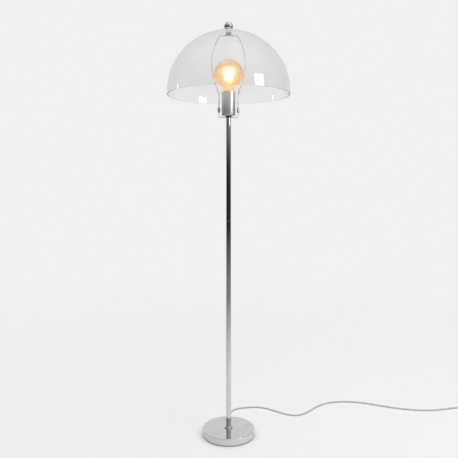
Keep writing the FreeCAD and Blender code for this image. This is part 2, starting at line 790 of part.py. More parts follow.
# ================================================================ bulb
def bulb_glass_shape():
    """Hollow globe on a short neck, with one wall thickness all over."""
    globe, neck, fillet = bulb_diameter / 2, bulb_neck_diameter / 2, bulb_neck_fillet
    root = cap_diameter / 2 - cap_thread_depth - cap_wall - seat_fit
    fillet_x = neck + fillet
    fillet_z = globe_centre - math.sqrt((globe + fillet)**2 - fillet_x**2)
    lean = math.atan2(fillet_z - globe_centre, fillet_x)
    skirt_top = min(cap_top + 6, fillet_z - 0.8)

    def side(offset):
        """Points of one skin: foot, shoulder, neck, fillet and crown."""
        middle = (math.pi + math.pi + lean) / 2
        return {
            "foot": Vec(root - offset, 0, cap_top - 3),
            "shoulder": Vec(root - offset, 0, cap_top + 0.5 + offset * 0.6),
            "neck": Vec(neck - offset, 0, skirt_top + offset * 0.6),
            "fillet_start": Vec(neck - offset, 0, fillet_z),
            "fillet_middle": Vec(fillet_x + (fillet + offset) * math.cos(middle), 0,
                                 fillet_z + (fillet + offset) * math.sin(middle)),
            "fillet_end": Vec((globe - offset) * math.cos(lean), 0,
                              globe_centre + (globe - offset) * math.sin(lean)),
            "side": Vec((globe - offset) * math.cos(0.4), 0,
                        globe_centre + (globe - offset) * math.sin(0.4)),
            "crown": Vec(0, 0, globe_centre + globe - offset),
        }

    edges = []
    for skin in (side(0), side(bulb_glass)):
        edges += [line(skin["foot"], skin["shoulder"]), line(skin["shoulder"], skin["neck"]),
                  line(skin["neck"], skin["fillet_start"]),
                  arc(skin["fillet_start"], skin["fillet_middle"], skin["fillet_end"]),
                  arc(skin["fillet_end"], skin["side"], skin["crown"])]
    outer, inner = side(0), side(bulb_glass)
    edges += [line(outer["crown"], inner["crown"]), line(inner["foot"], outer["foot"])]
    return turned_from_edges(Part.__sortEdges__(edges))


def bulb_pieces():
    pieces = {"bulb_glass": bulb_glass_shape()}
    tip, outer = cap_tip_diameter / 2, cap_diameter / 2
    core = outer - cap_thread_depth
    inner = core - cap_wall
    pieces["bulb_contact"] = turned([(0, bulb_tip), (tip, bulb_tip, 0.9),
                                     (tip, insulator_bottom), (0, insulator_bottom)])
    pieces["bulb_insulator"] = turned([(0, insulator_bottom), (tip + 0.4, insulator_bottom),
                                       (core, cap_bottom), (0, cap_bottom)])
    corners = [(inner, cap_bottom), (core, cap_bottom)]
    for index in range(cap_threads):
        start = cap_bottom + 1.2 + index * cap_thread_pitch
        corners += [(core, start), (outer, start + cap_thread_pitch * 0.35, 0.5),
                    (outer, start + cap_thread_pitch * 0.55, 0.5),
                    (core, start + cap_thread_pitch * 0.9)]
    corners += [(core, cap_top - cap_flare), (core + 0.5, cap_top), (inner, cap_top)]
    pieces["bulb_cap"] = turned(corners)

    stem = stem_diameter / 2
    stem_top = cap_top + stem_height
    flare = inner - bulb_glass - 2 * seat_fit
    pieces["bulb_stem"] = turned([(0, cap_top - 3), (flare, cap_top - 3), (flare, cap_top),
                                  (stem, cap_top + 8, 4.0), (stem, stem_top, 1.5),
                                  (0, stem_top)])

    top = stem_top + filament_length + 6
    low = stem_top + 4
    rods = [cylinder(support_diameter, stem_top, top)]
    sticks = []
    for index in range(filament_count):
        angle = 2 * math.pi * (index + 0.5) / filament_count
        foot = Vec(filament_bottom_radius * math.cos(angle),
                   filament_bottom_radius * math.sin(angle), low)
        head = Vec(filament_top_radius * math.cos(angle),
                   filament_top_radius * math.sin(angle), low + filament_length)
        sticks.append(cross_cylinder(filament_diameter, foot, head))
        along = head - foot
        along.normalize()
        rods.append(cross_cylinder(support_diameter, (0, 0, low - 2), foot - along * 0.1))
        rods.append(cross_cylinder(support_diameter, (0, 0, top - 1), head + along * 0.1))
    pieces["bulb_supports"] = joined(*rods)
    pieces["bulb_filaments"] = Part.makeCompound(sticks).cut(pieces["bulb_supports"])
    return pieces


# ================================================================ shade and finial
def shade_pieces():
    outer, inner = shade_radius, shade_inner_radius
    rim = shade_centre - shade_skirt
    hole = shade_hole_diameter / 2

    def on_dome(radius, x):
        return Vec(x, 0, shade_centre + math.sqrt(radius**2 - x**2))

    slant = math.cos(math.radians(45))
    edges = [line(Vec(inner, 0, rim), Vec(outer, 0, rim)),
             line(Vec(outer, 0, rim), Vec(outer, 0, shade_centre)),
             arc(Vec(outer, 0, shade_centre), on_dome(outer, outer * slant),
                 on_dome(outer, hole)),
             line(on_dome(outer, hole), on_dome(inner, hole)),
             arc(on_dome(inner, hole), on_dome(inner, inner * slant),
                 Vec(inner, 0, shade_centre)),
             line(Vec(inner, 0, shade_centre), Vec(inner, 0, rim))]
    pieces = {"shade": turned_from_edges(edges)}
    bore = stud_diameter + 2 * free_gap
    pieces["shade_seat"] = ring(seat_diameter, bore, seat_bottom, seat_top)
    pieces["shade_washer"] = ring(shade_washer_diameter, bore, shade_washer_bottom,
                                  shade_washer_top)
    ball = Part.makeSphere(finial_diameter / 2, Vec(0, 0, finial_centre))
    below = cylinder(finial_diameter, finial_bottom - finial_diameter, finial_bottom)
    thread = cylinder(stud_diameter + 2 * running_fit, finial_bottom - 1,
                      finial_bottom + finial_thread_depth)
    pieces["finial"] = ball.cut([below, thread])
    return pieces


# ================================================================ free lead, foot switch, plug
def coil():
    """Put-away coil: in along the lower layer, up a layer, and out along the upper one."""
    entry_x, entry_y, low = tail_route[-1]
    step = coil_pitch / 2
    halves = 2 * coil_turns_per_layer
    largest = coil_largest_radius()
    centre_y = entry_y - cord_diameter
    high = low + coil_pitch
    at_x = entry_x
    front = True
    edges = [line(Vec(entry_x, entry_y, low), Vec(entry_x, centre_y, low))]
    layers = [(largest - step * index, low, low) for index in range(halves)]
    layers.append((largest - step * halves, low, high))
    layers += [(largest - step * (halves - 1 - index), high, high) for index in range(halves - 1)]
    for radius, start_height, end_height in layers:
        side = 1 if front else -1
        edges += half_turn(at_x - side * radius, centre_y, radius, start_height, end_height,
                           front)
        at_x -= 2 * side * radius
        front = not front
    edges.append(line(Vec(at_x, centre_y, high), Vec(at_x, centre_y - cord_diameter, high)))
    shape = swept(edges, cord_diameter)
    report_tube("cord_coil", shape, edges, cord_diameter)
    print(f"cord_coil: least gap to itself {least_gap(edges):.2f}")
    return shape


def coil_largest_radius():
    return coil_middle_radius + coil_pitch / 2 * (2 * coil_turns_per_layer - 1) / 2


def coil_tie():
    """Strap round the stacked turns at the rear of the coil, with its end folded over."""
    entry_x, entry_y, low = tail_route[-1]
    largest = coil_largest_radius()
    centre_x, centre_y = entry_x - largest, entry_y - cord_diameter
    outermost = largest - coil_pitch / 2
    innermost = outermost - coil_pitch * (coil_turns_per_layer - 1)
    reach = (tie_width + coil_pitch) / 2
    rear = centre_y + outermost + cord_radius + seat_fit
    front = centre_y + math.sqrt(innermost**2 - reach**2) - cord_radius - seat_fit
    bottom = low - cord_radius - seat_fit
    top = low + coil_pitch + cord_radius + seat_fit
    loop = outline([(front - tie_thickness, bottom - tie_thickness, cord_radius),
                    (rear + tie_thickness, bottom - tie_thickness, cord_radius),
                    (rear + tie_thickness, top + tie_thickness, cord_radius),
                    (front - tie_thickness, top + tie_thickness, cord_radius)])
    inside = outline([(front, bottom, cord_radius - tie_thickness),
                      (rear, bottom, cord_radius - tie_thickness),
                      (rear, top, cord_radius - tie_thickness),
                      (front, top, cord_radius - tie_thickness)])
    fold = outline([(front + cord_radius, top + tie_thickness - 0.1),
                    (rear - cord_radius, top + tie_thickness - 0.1),
                    (rear - cord_radius, top + 2 * tie_thickness),
                    (front + cord_radius, top + 2 * tie_thickness)])
    band, bore, flap = [Part.Face(wire).extrude(Vec(0, tie_width, 0))
                        for wire in (loop, inside, fold)]
    strap = joined(band.cut(bore), flap)
    strap.rotate(Vec(0, 0, 0), Z_AXIS, 90)
    strap.translate(Vec(centre_x + tie_width / 2, 0, 0))
    return strap


def least_gap(edges):
    """Smallest gap between two stretches of the coil that aren't neighbours along it."""
    spacing = 3.0
    points, along, travelled = [], [], 0.0
    for edge in edges:
        count = max(2, round(edge.Length / spacing))
        points += edge.discretize(Number=count + 1)[:-1]
        along += [travelled + edge.Length * index / count for index in range(count)]
        travelled += edge.Length
    apart = math.pi * cord_diameter
    nearest = min((points[i] - points[j]).Length
                  for i in range(len(points)) for j in range(i)
                  if along[i] - along[j] > apart)
    return nearest - cord_diameter


def switch_middle():
    """Point midway along the foot switch, at the height of its lead."""
    x, lead_end, height = lead_route[-1]
    return x, lead_end + switch_grip - switch_length / 2, height


def stadium(inset, bottom, top):
    """Slab with the foot switch's rounded plan, drawn in by inset."""
    centre_x, middle_y, _ = switch_middle()
    half_width = switch_width / 2 - inset
    reach = (switch_length - switch_width) / 2
    rear, front = middle_y + reach, middle_y - reach
    edges = [line(Vec(centre_x + half_width, front, bottom),
                  Vec(centre_x + half_width, rear, bottom)),
             arc(Vec(centre_x + half_width, rear, bottom),
                 Vec(centre_x, rear + half_width, bottom),
                 Vec(centre_x - half_width, rear, bottom)),
             line(Vec(centre_x - half_width, rear, bottom),
                  Vec(centre_x - half_width, front, bottom)),
             arc(Vec(centre_x - half_width, front, bottom),
                 Vec(centre_x, front - half_width, bottom),
                 Vec(centre_x + half_width, front, bottom))]
    return Part.Face(Part.Wire(edges)).extrude(Vec(0, 0, top - bottom))


def edge_rounded(shape, height, radius):
    """Round the outer edges of a shape that lie at one height."""
    edges = [edge for edge in shape.Edges
             if abs(edge.BoundBox.ZMin - height) < 1e-6 and abs(edge.BoundBox.ZMax - height) < 1e-6]
    return shape.makeFillet(radius, edges)


def switch_pieces():
    x, y, split = switch_middle()
    roof = switch_height - switch_wall
    edge = min(switch_edge_radius, switch_wall * 1.5)
    half = switch_length / 2
    lead_holes = [cross_cylinder(cord_diameter + 2 * seat_fit, (x, y + side * (half + 1), split),
                                 (x, y + side * (half - switch_grip), split))
                  for side in (-1, 1)]
    room = stadium(switch_wall, switch_wall, roof)
    screws = [(x + side * switch_screw_across / 2, y - side * switch_screw_along / 2)
              for side in (-1, 1)]
    posts = [cylinder(2.4 * switch_screw_diameter, switch_wall, roof, px, py)
             for px, py in screws]
    seats = [screw_seat(switch_screw_diameter, switch_height - 2 * switch_wall - 2, px, py, 0)
             for px, py in screws]
    below = stadium(-1, -1, split)
    above = stadium(-1, split, switch_height + 1)
    button_hole = cylinder(button_diameter + 2 * free_gap, roof - 1, switch_height + 1, x, y)

    pieces = {}
    lower = edge_rounded(stadium(0, 0, split), 0, min(1.0, edge)).cut(room)
    lower = joined(lower, *[post.common(below) for post in posts])
    pieces["switch_base"] = lower.cut([*lead_holes, *seats])
    upper = edge_rounded(stadium(0, split, switch_height), switch_height, edge).cut(room)
    upper = joined(upper, *[post.common(above) for post in posts])
    pieces["switch_cover"] = upper.cut([*lead_holes, button_hole, *seats])
    pieces["switch_screws"] = Part.makeCompound(
        [countersunk_screw(switch_screw_diameter, switch_height - 2 * switch_wall - 2, px, py, 0)
         for px, py in screws])

    flange_top = roof - moving_gap
    flange_bottom = flange_top - button_flange_thickness
    cap_top_height = switch_height + button_proud
    button = turned([(0, flange_bottom), (button_diameter / 2 + button_flange, flange_bottom),
                     (button_diameter / 2 + button_flange, flange_top),
                     (button_diameter / 2, flange_top),
                     (button_diameter / 2, cap_top_height, button_edge_radius),
                     (0, cap_top_height)])
    button.translate(Vec(x, y, 0))
    pieces["switch_button"] = button

    block_top = flange_bottom - button_travel - 1.0
    block = bar((x - block_width / 2, y - block_length / 2, switch_wall),
                (x + block_width / 2, y + block_length / 2, block_top))
    terminals = []
    for side in (-1, 1):
        near, far = sorted((y + side * (block_length / 2 - terminal_length / 2),
                            y + side * block_length / 2))
        terminals.append(bar((x - terminal_width / 2, near, split - 2),
                             (x + terminal_width / 2, far, split + 2)))
    pieces["switch_block"] = block.cut(terminals)
    pieces["switch_terminals"] = Part.makeCompound(terminals)

    spring_bottom = block_top + spring_wire / 2 + 0.1
    spring_top = flange_bottom - spring_wire / 2 - 0.1
    rise = (spring_top - spring_bottom) / (2 * spring_turns)
    radius = (spring_diameter - spring_wire) / 2
    edges = []
    for index in range(2 * spring_turns):
        edges += half_turn(x, y, radius, spring_bottom + index * rise,
                           spring_bottom + (index + 1) * rise, index % 2 == 0)
    pieces["switch_spring"] = swept(edges, spring_wire)
    report_tube("switch_spring", pieces["switch_spring"], edges, spring_wire)
    return pieces


def plug_pieces():
    """Flat two-pin plug that lies on the floor with its pins towards the front."""
    x, relief_y, _ = plug_route[-1]
    axis_z = plug_thickness / 2
    back = relief_y - plug_relief_length
    front = back - plug_length
    half, neck = plug_width / 2, plug_neck_width / 2
    shoulder = front + plug_shoulder_length
    plan = outline([(x - neck, back, 3.0), (x + neck, back, 3.0), (x + half, shoulder, 6.0),
                    (x + half, front, 2.0), (x - half, front, 2.0), (x - half, shoulder, 6.0)])
    face = Part.Face(plan)
    face.rotate(Vec(0, 0, 0), X_AXIS, -90)
    body = face.extrude(Vec(0, 0, plug_thickness))
    body = edge_rounded(body, plug_thickness, plug_edge_radius)
    relief = turned([(0, 0), (cord_radius + 0.4, 0),
                     (plug_relief_diameter / 2, plug_relief_length * 0.8),
                     (plug_relief_diameter / 2, plug_relief_length + 2),
                     (0, plug_relief_length + 2)])
    body = joined(body, laid_along_y(relief, x, relief_y, axis_z))
    pins, sleeves, roots = [], [], []
    core, tip = pin_core_diameter / 2, pin_diameter / 2
    for side in (-1, 1):
        pin = turned([(0, -pin_root_length), (core, -pin_root_length),
                      (core, pin_sleeve_length), (tip, pin_sleeve_length),
                      (tip, pin_length, pin_tip_radius), (0, pin_length)])
        sleeve = ring(pin_sleeve_diameter, pin_core_diameter + 0.04, 0, pin_sleeve_length)
        root = cylinder(pin_core_diameter + 0.04, -pin_root_length - 0.1, 1)
        at_x = x + side * pin_spacing / 2
        pins.append(laid_along_y(pin, at_x, front, axis_z))
        sleeves.append(laid_along_y(sleeve, at_x, front, axis_z))
        roots.append(laid_along_y(root, at_x, front, axis_z))
    return {"plug_body": body.cut(roots), "plug_pins": Part.makeCompound(pins),
            "plug_sleeves": Part.makeCompound(sleeves)}


def cord_pieces():
    return {"cord_lead": free_cord("cord_lead", lead_route),
            "cord_tail": free_cord("cord_tail", tail_route),
            "cord_coil": coil(),
            "coil_tie": coil_tie(),
            "cord_plug_lead": free_cord("cord_plug_lead", plug_route)}


# ================================================================ write the pieces
def main():
    os.makedirs("parts", exist_ok=True)
    pieces = {}
    for group in (base_pieces, pole_pieces, harp_pieces, holder_pieces, bulb_pieces,
                  shade_pieces, cord_pieces, switch_pieces, plug_pieces):
        pieces.update(group())
    for name, shape in pieces.items():
        if not shape.isValid():
            print(f"{name}: not valid")
        shape.exportStep(f"parts/{name}.step")
    print(len(pieces), "pieces")


main()
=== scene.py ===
import logging
import math
from collections.abc import Sequence
from dataclasses import dataclass
from enum import Enum
from functools import cache

import bpy
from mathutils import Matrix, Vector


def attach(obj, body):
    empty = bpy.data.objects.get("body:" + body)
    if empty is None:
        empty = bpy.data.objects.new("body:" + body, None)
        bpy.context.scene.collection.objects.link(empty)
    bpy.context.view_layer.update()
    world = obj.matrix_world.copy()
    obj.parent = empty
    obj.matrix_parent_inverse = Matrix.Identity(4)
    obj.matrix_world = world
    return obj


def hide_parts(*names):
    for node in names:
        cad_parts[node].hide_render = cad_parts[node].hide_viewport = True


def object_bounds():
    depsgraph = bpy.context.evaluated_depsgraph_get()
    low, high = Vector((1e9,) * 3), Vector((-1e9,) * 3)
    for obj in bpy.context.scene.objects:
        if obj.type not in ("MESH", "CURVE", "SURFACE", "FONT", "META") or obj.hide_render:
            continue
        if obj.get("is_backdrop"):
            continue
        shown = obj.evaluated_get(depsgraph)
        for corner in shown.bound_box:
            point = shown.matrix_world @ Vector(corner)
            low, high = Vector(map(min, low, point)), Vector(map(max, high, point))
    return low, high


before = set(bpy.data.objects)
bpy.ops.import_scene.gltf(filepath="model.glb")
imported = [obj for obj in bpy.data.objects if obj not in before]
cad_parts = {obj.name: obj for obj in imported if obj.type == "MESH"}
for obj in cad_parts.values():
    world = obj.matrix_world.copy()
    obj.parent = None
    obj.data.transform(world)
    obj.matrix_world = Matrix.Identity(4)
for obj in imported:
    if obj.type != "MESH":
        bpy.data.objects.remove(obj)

# Floor lamp with a clear dome shade on a wire harp, a lit globe bulb and a round chrome base.
# Sizes are in millimetres and the meshes in metres, with +Z up and the front at -Y.

LOG = logging.getLogger("floor_lamp")
MM = 0.001
MERGE = 1e-5            # metres: points nearer than this are one point
CAD_MERGE = 1e-6        # metres: the same, for the loose triangles of a CAD node
CREASE = 32.0           # degrees: edges sharper than this stay creased
SHARP = 40.0            # degrees: edges sharper than this take a bevel
SLIT = 0.05             # half of the gap between two half rounds that face each other
Point = tuple[float, ...]
Outline = list[Point]
Piece = bpy.types.Object
Socket = bpy.types.NodeSocket


# ================================================================ modelling tools
def deselect() -> None:
    """Leave edit mode and deselect every object."""
    if bpy.context.object is not None and bpy.context.object.mode != "OBJECT":
        bpy.ops.object.mode_set(mode="OBJECT")
    bpy.ops.object.select_all(action="DESELECT")


def pick(*pieces: Piece) -> None:
    """Select some pieces alone and make the first one active.

    Args:
        *pieces: The pieces.
    """
    deselect()
    for piece in pieces:
        piece.select_set(True)
    bpy.context.view_layer.objects.active = pieces[0]


def named(piece: Piece, name: str) -> Piece:
    """Give an object and its data one name."""
    piece.name = piece.data.name = name
    return piece


def arc(centre: Point, radius: float, start: float, end: float, steps: int) -> Outline:
    """Points along an arc in the (r, z) plane.

    Args:
        centre: The arc's centre.
        radius: Its radius.
        start: Angle of the first point, in degrees from +r towards +z.
        end: Angle of the last point.
        steps: Number of equal steps.

    Returns:
        The points, both ends included.
    """
    angles = [math.radians(start + (end - start) * step / steps) for step in range(steps + 1)]
    return [(centre[0] + radius * math.cos(a), centre[1] + radius * math.sin(a)) for a in angles]


def rounded(corners: Sequence[Point], steps: int = 6) -> Outline:
    """Closed outline with its corners rounded.

    Args:
        corners: (r, z) or (r, z, corner radius) in order round the outline.
        steps: Steps in each rounded corner.

    Returns:
        The outline's points.
    """
    points: Outline = []
    for index, corner in enumerate(corners):
        if len(corner) == 2:
            points.append((corner[0], corner[1]))
            continue
        before, after = corners[index - 1], corners[(index + 1) % len(corners)]
        back = math.atan2(before[1] - corner[1], before[0] - corner[0])
        ahead = math.atan2(after[1] - corner[1], after[0] - corner[0])
        turn = (ahead - back + math.pi) % (2 * math.pi) - math.pi
        reach = corner[2] / math.tan(abs(turn) / 2)
        middle = back + turn / 2
        away = corner[2] / math.sin(abs(turn) / 2)
        centre = (corner[0] + away * math.cos(middle), corner[1] + away * math.sin(middle))
        ends = [(corner[0] + reach * math.cos(a), corner[1] + reach * math.sin(a))
                for a in (back, ahead)]
        first, last = (math.atan2(e[1] - centre[1], e[0] - centre[0]) for e in ends)
        sweep = (last - first + math.pi) % (2 * math.pi) - math.pi
        points += arc(centre, corner[2], math.degrees(first), math.degrees(first + sweep), steps)
    return points


def smoothed(piece: Piece) -> Piece:
    """Shade a piece smooth, with sharp creases kept and its large faces flat.

    Args:
        piece: The piece that is shaded.

    Returns:
        The same piece.
    """
    pick(piece)
    bpy.ops.object.shade_smooth_by_angle(angle=math.radians(CREASE))
    weighted = piece.modifiers.new("normals", "WEIGHTED_NORMAL")
    weighted.keep_sharp = True
    bpy.ops.object.modifier_apply(modifier=weighted.name)
    return piece


def closed_up() -> None:
    """Merge doubled points of the mesh in edit mode and turn its faces outwards."""
    bpy.ops.mesh.select_all(action="SELECT")
    bpy.ops.mesh.remove_doubles(threshold=MERGE)
    bpy.ops.mesh.normals_make_consistent(inside=False)
    bpy.ops.object.mode_set(mode="OBJECT")


def turned(name: str, outline: Outline, segments: int = 64, centre: Point = (0.0, 0.0),
           closed: bool = True) -> Piece:
    """Turn a half outline round an upright axis, as on a lathe.

    Args:
        name: The new piece's name.
        outline: Points (r, z) of the half outline.
        segments: Steps round the axis.
        centre: The axis's (x, y).
        closed: Whether the outline runs back to its first point.

    Returns:
        The closed, smooth-shaded piece.
    """
    deselect()
    bpy.ops.mesh.primitive_plane_add(size=MM)
    piece = named(bpy.context.object, name)
    bpy.ops.object.mode_set(mode="EDIT")
    bpy.ops.mesh.select_mode(type="VERT")
    bpy.ops.mesh.select_all(action="SELECT")
    bpy.ops.mesh.merge(type="CENTER")
    stops = outline + outline[:1] if closed else outline
    first = stops[0]
    bpy.ops.transform.translate(value=((centre[0] + first[0]) * MM, centre[1] * MM,
                                       first[1] * MM))
    for before, after in zip(stops, stops[1:]):
        step = ((after[0] - before[0]) * MM, 0, (after[1] - before[1]) * MM)
        bpy.ops.mesh.extrude_region_move(TRANSFORM_OT_translate={"value": step})
    bpy.ops.mesh.select_all(action="SELECT")
    bpy.ops.mesh.remove_doubles(threshold=MERGE)
    bpy.ops.mesh.spin(steps=segments, angle=2 * math.pi, axis=(0, 0, 1),
                      center=(centre[0] * MM, centre[1] * MM, 0))
    closed_up()
    return smoothed(piece)


class Heading(Enum):
    """Way that a section turns as it runs up the lamp's right side: the spin's axis along Y."""

    OUTWARD = -1.0
    INWARD = 1.0


@dataclass(frozen=True)
class Run:
    """Straight stretch of a swept section."""

    dx: float
    dz: float

    def follow(self) -> None:
        """Extrude the selected section along the stretch."""
        bpy.ops.mesh.extrude_region_move(
            TRANSFORM_OT_translate={"value": (self.dx * MM, 0, self.dz * MM)})


@dataclass(frozen=True)
class Bend:
    """Turn of a swept section about a centre in the XZ plane."""

    x: float
    z: float
    degrees: float
    steps: int
    heading: Heading

    def follow(self) -> None:
        """Spin the selected section round the centre."""
        bpy.ops.mesh.spin(steps=self.steps, angle=math.radians(self.degrees),
                          center=(self.x * MM, 0, self.z * MM),
                          axis=(0, self.heading.value, 0))


def swept(name: str, moves: Sequence[Run | Bend]) -> Piece:
    """Sweep the open section of the active object along runs and bends.

    Args:
        name: The new piece's name.
        moves: The path's stretches in order.

    Returns:
        The piece, closed at both ends, with its place in its mesh.
    """
    piece = named(bpy.context.object, name)
    bpy.ops.object.mode_set(mode="EDIT")
    bpy.ops.mesh.select_mode(type="EDGE")
    bpy.ops.mesh.select_all(action="SELECT")
    for move in moves:
        move.follow()
    bpy.ops.mesh.select_all(action="SELECT")
    bpy.ops.mesh.fill_holes(sides=0)
    closed_up()
    bpy.ops.object.transform_apply(location=True, rotation=True, scale=True)
    return piece


def half_round(name: str, x: float, bottom: float, top: float, behind: bool) -> Piece:
    """Half of an upright round bar, split along the XZ plane.

    Args:
        name: The new piece's name.
        x: The bar's place along X.
        bottom: Height of its lower end.
        top: Height of its upper end.
        behind: Whether the half behind the plane is kept, or the one in front.

    Returns:
        The closed half bar.
    """
    deselect()
    bpy.ops.mesh.primitive_cylinder_add(vertices=40, radius=HALF_ROD * MM,
                                        depth=(top - bottom) * MM,
                                        location=(x * MM, 0, (top + bottom) / 2 * MM))
    piece = named(bpy.context.object, name)
    side = 1 if behind else -1
    bpy.ops.object.mode_set(mode="EDIT")
    bpy.ops.mesh.select_all(action="SELECT")
    bpy.ops.mesh.bisect(plane_co=(0, side * SLIT * MM, 0), plane_no=(0, side, 0), use_fill=True,
                        clear_inner=True)
    closed_up()
    bpy.ops.object.transform_apply(location=True, rotation=True, scale=True)
    return piece


def joined(name: str, *pieces: Piece) -> Piece:
    """Join pieces that are fixed to each other into one object.

    Args:
        name: The object's name.
        *pieces: The pieces.

    Returns:
        The object.
    """
    pick(*pieces)
    bpy.ops.object.join()
    return named(bpy.context.object, name)


def softened(piece: Piece, width: float) -> Piece:
    """Round a piece's sharp edges with an applied bevel.

    Args:
        piece: The piece.
        width: The bevel's width.

    Returns:
        The same piece.
    """
    pick(piece)
    bevel = piece.modifiers.new("edges", "BEVEL")
    bevel.width, bevel.segments = width * MM, 2
    bevel.limit_method, bevel.angle_limit = "ANGLE", math.radians(SHARP)
    bevel.use_clamp_overlap = True
    bpy.ops.object.modifier_apply(modifier=bevel.name)
    return piece


def copied(node: str, name: str, edge: float = 0.0) -> Piece:
    """Closed, smooth-shaded copy of a CAD node, with softened edges.

    Args:
        node: The CAD node that is copied.
        name: The new piece's name.
        edge: Width of the bevel on its sharp edges.

    Returns:
        The new piece.
    """
    piece = bpy.data.objects.new(name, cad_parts[node].data.copy())
    piece.data.name = name
    bpy.context.scene.collection.objects.link(piece)
    pick(piece)
    bpy.ops.mesh.customdata_custom_splitnormals_clear()
    bpy.ops.object.mode_set(mode="EDIT")
    bpy.ops.mesh.select_all(action="SELECT")
    bpy.ops.mesh.remove_doubles(threshold=CAD_MERGE)
    bpy.ops.mesh.tris_convert_to_quads(face_threshold=math.radians(1),
                                       shape_threshold=math.radians(60))
    bpy.ops.object.mode_set(mode="OBJECT")
    if edge:
        softened(piece, edge)
    return smoothed(piece)


# ================================================================ finishes
def opaque(colour: Point) -> Point:
    """Colour with full alpha, as a colour socket holds it."""
    return (*colour, 1.0)


class NodeSheet:
    """Node tree of a material or a world, with short calls that add and link its nodes."""

    def __init__(self, owner: bpy.types.Material | bpy.types.World) -> None:
        """Empty the owner's node tree.

        Args:
            owner: The material or the world.
        """
        self.owner = owner
        owner.use_nodes = True
        self.tree = owner.node_tree
        self.tree.nodes.clear()

    def add(self, kind: str, inputs: dict[str | int, object] | None = None,
            **settings: object) -> bpy.types.Node:
        """Add a node.

        Args:
            kind: The node's type.
            inputs: Constants or output sockets for its inputs, by name or number.
            **settings: Properties of the node.

        Returns:
            The new node.
        """
        node = self.tree.nodes.new(kind)
        for key, value in settings.items():
            setattr(node, key, value)
        for key, value in (inputs or {}).items():
            if isinstance(value, Socket):
                self.tree.links.new(value, node.inputs[key])
            else:
                node.inputs[key].default_value = value
        return node

    def place(self) -> Socket:
        """The point's place on the object, in metres."""
        return self.add("ShaderNodeTexCoord").outputs["Object"]

    def height(self, vector: Socket) -> Socket:
        """The upward part of a place or a direction."""
        return self.add("ShaderNodeSeparateXYZ", {"Vector": vector}).outputs["Z"]

    def ray(self, kind: str) -> Socket:
        """1 for rays of one kind, by the name of the light path's output, and 0 for others."""
        return self.add("ShaderNodeLightPath").outputs[kind]

    def noise(self, scale: float, detail: float) -> Socket:
        """Noise pattern, from about 0.25 to 0.75."""
        return self.add("ShaderNodeTexNoise", {"Vector": self.place(), "Scale": scale,
                                               "Detail": detail}).outputs["Fac"]

    def ranged(self, value: Socket, low: float, high: float, start: float = 0.3,
               end: float = 0.7) -> Socket:
        """Map a value from one range to another, clamped."""
        return self.add("ShaderNodeMapRange", {"Value": value, "From Min": start, "From Max": end,
                                               "To Min": low, "To Max": high}).outputs[0]

    def worked_out(self, operation: str, first: Socket | float, second: Socket | float,
                   clamp: bool = False) -> Socket:
        """Result of a sum on two values."""
        return self.add("ShaderNodeMath", {0: first, 1: second}, operation=operation,
                        use_clamp=clamp).outputs[0]

    def vector(self, operation: str, first: Socket, **inputs: object) -> bpy.types.Node:
        """Node that works on a vector."""
        return self.add("ShaderNodeVectorMath", {0: first, **inputs}, operation=operation)

    def blended(self, factor: Socket, first: Point, second: Point | Socket) -> Socket:
        """Colour that goes from one to another with a factor."""
        return self.add("ShaderNodeMix", {"Factor": factor, "A": opaque(first), "B": second},
                        data_type="RGBA").outputs["Result"]

    def mottled(self, pattern: Socket, first: Point, second: Point) -> Socket:
        """Colour that goes from one to another with a noise pattern."""
        return self.blended(self.ranged(pattern, 0.0, 1.0), first, opaque(second))

    def mixed(self, factor: Socket, first: Socket, second: Socket) -> Socket:
        """Shader that goes from one to another with a factor."""
        return self.add("ShaderNodeMixShader", {0: factor, 1: first, 2: second}).outputs[0]

    def bump(self, height: Socket, depth: float) -> Socket:
        """Surface normal raised by a height pattern of a depth in millimetres."""
        return self.add("ShaderNodeBump", {"Height": height, "Strength": 1.0,
                                           "Distance": depth * MM}).outputs[0]

    def surface(self, shader: Socket) -> bpy.types.Material:
        """Finish a material's sheet with its surface shader."""
        self.add("ShaderNodeOutputMaterial", {"Surface": shader})
        return self.owner


@dataclass(frozen=True)
class Metal:
    """Plated or bare metal with faint smudges and a fine grain."""

    name: str
    bright: Point
    dull: Point
    smooth: float
    rough: float
    smudge: float = 34.0
    grain: float = 900.0
    grain_depth: float = 0.0006
    metallic: float = 1.0

    def material(self) -> bpy.types.Material:
        """Build the node tree.

        Returns:
            The material.
        """
        sheet = NodeSheet(bpy.data.materials.new(self.name))
        smudge = sheet.noise(self.smudge, 4.0)
        shader = sheet.add("ShaderNodeBsdfPrincipled", {
            "Base Color": sheet.mottled(smudge, self.bright, self.dull),
            "Roughness": sheet.ranged(smudge, self.smooth, self.rough),
            "Metallic": self.metallic,
            "Normal": sheet.bump(sheet.noise(self.grain, 2.0), self.grain_depth)})
        return sheet.surface(shader.outputs[0])


@dataclass(frozen=True)
class Moulding:
    """Plastic, rubber, ceramic or raw casting with a mottled colour and a grained skin."""

    name: str
    light: Point
    dark: Point
    smooth: float
    rough: float
    grain: float = 700.0
    grain_depth: float = 0.01
    mottle: float = 60.0
    coat: float = 0.0
    subsurface: float = 0.0

    def material(self) -> bpy.types.Material:
        """Build the node tree.

        Returns:
            The material.
        """
        sheet = NodeSheet(bpy.data.materials.new(self.name))
        grain = sheet.noise(self.grain, 3.0)
        shader = sheet.add("ShaderNodeBsdfPrincipled", {
            "Base Color": sheet.mottled(sheet.noise(self.mottle, 4.0), self.light, self.dark),
            "Roughness": sheet.ranged(grain, self.smooth, self.rough),
            "Coat Weight": self.coat,
            "Coat Roughness": 0.2,
            "Subsurface Weight": self.subsurface,
            "Subsurface Scale": 0.002,
            "Normal": sheet.bump(grain, self.grain_depth)})
        return sheet.surface(shader.outputs[0])


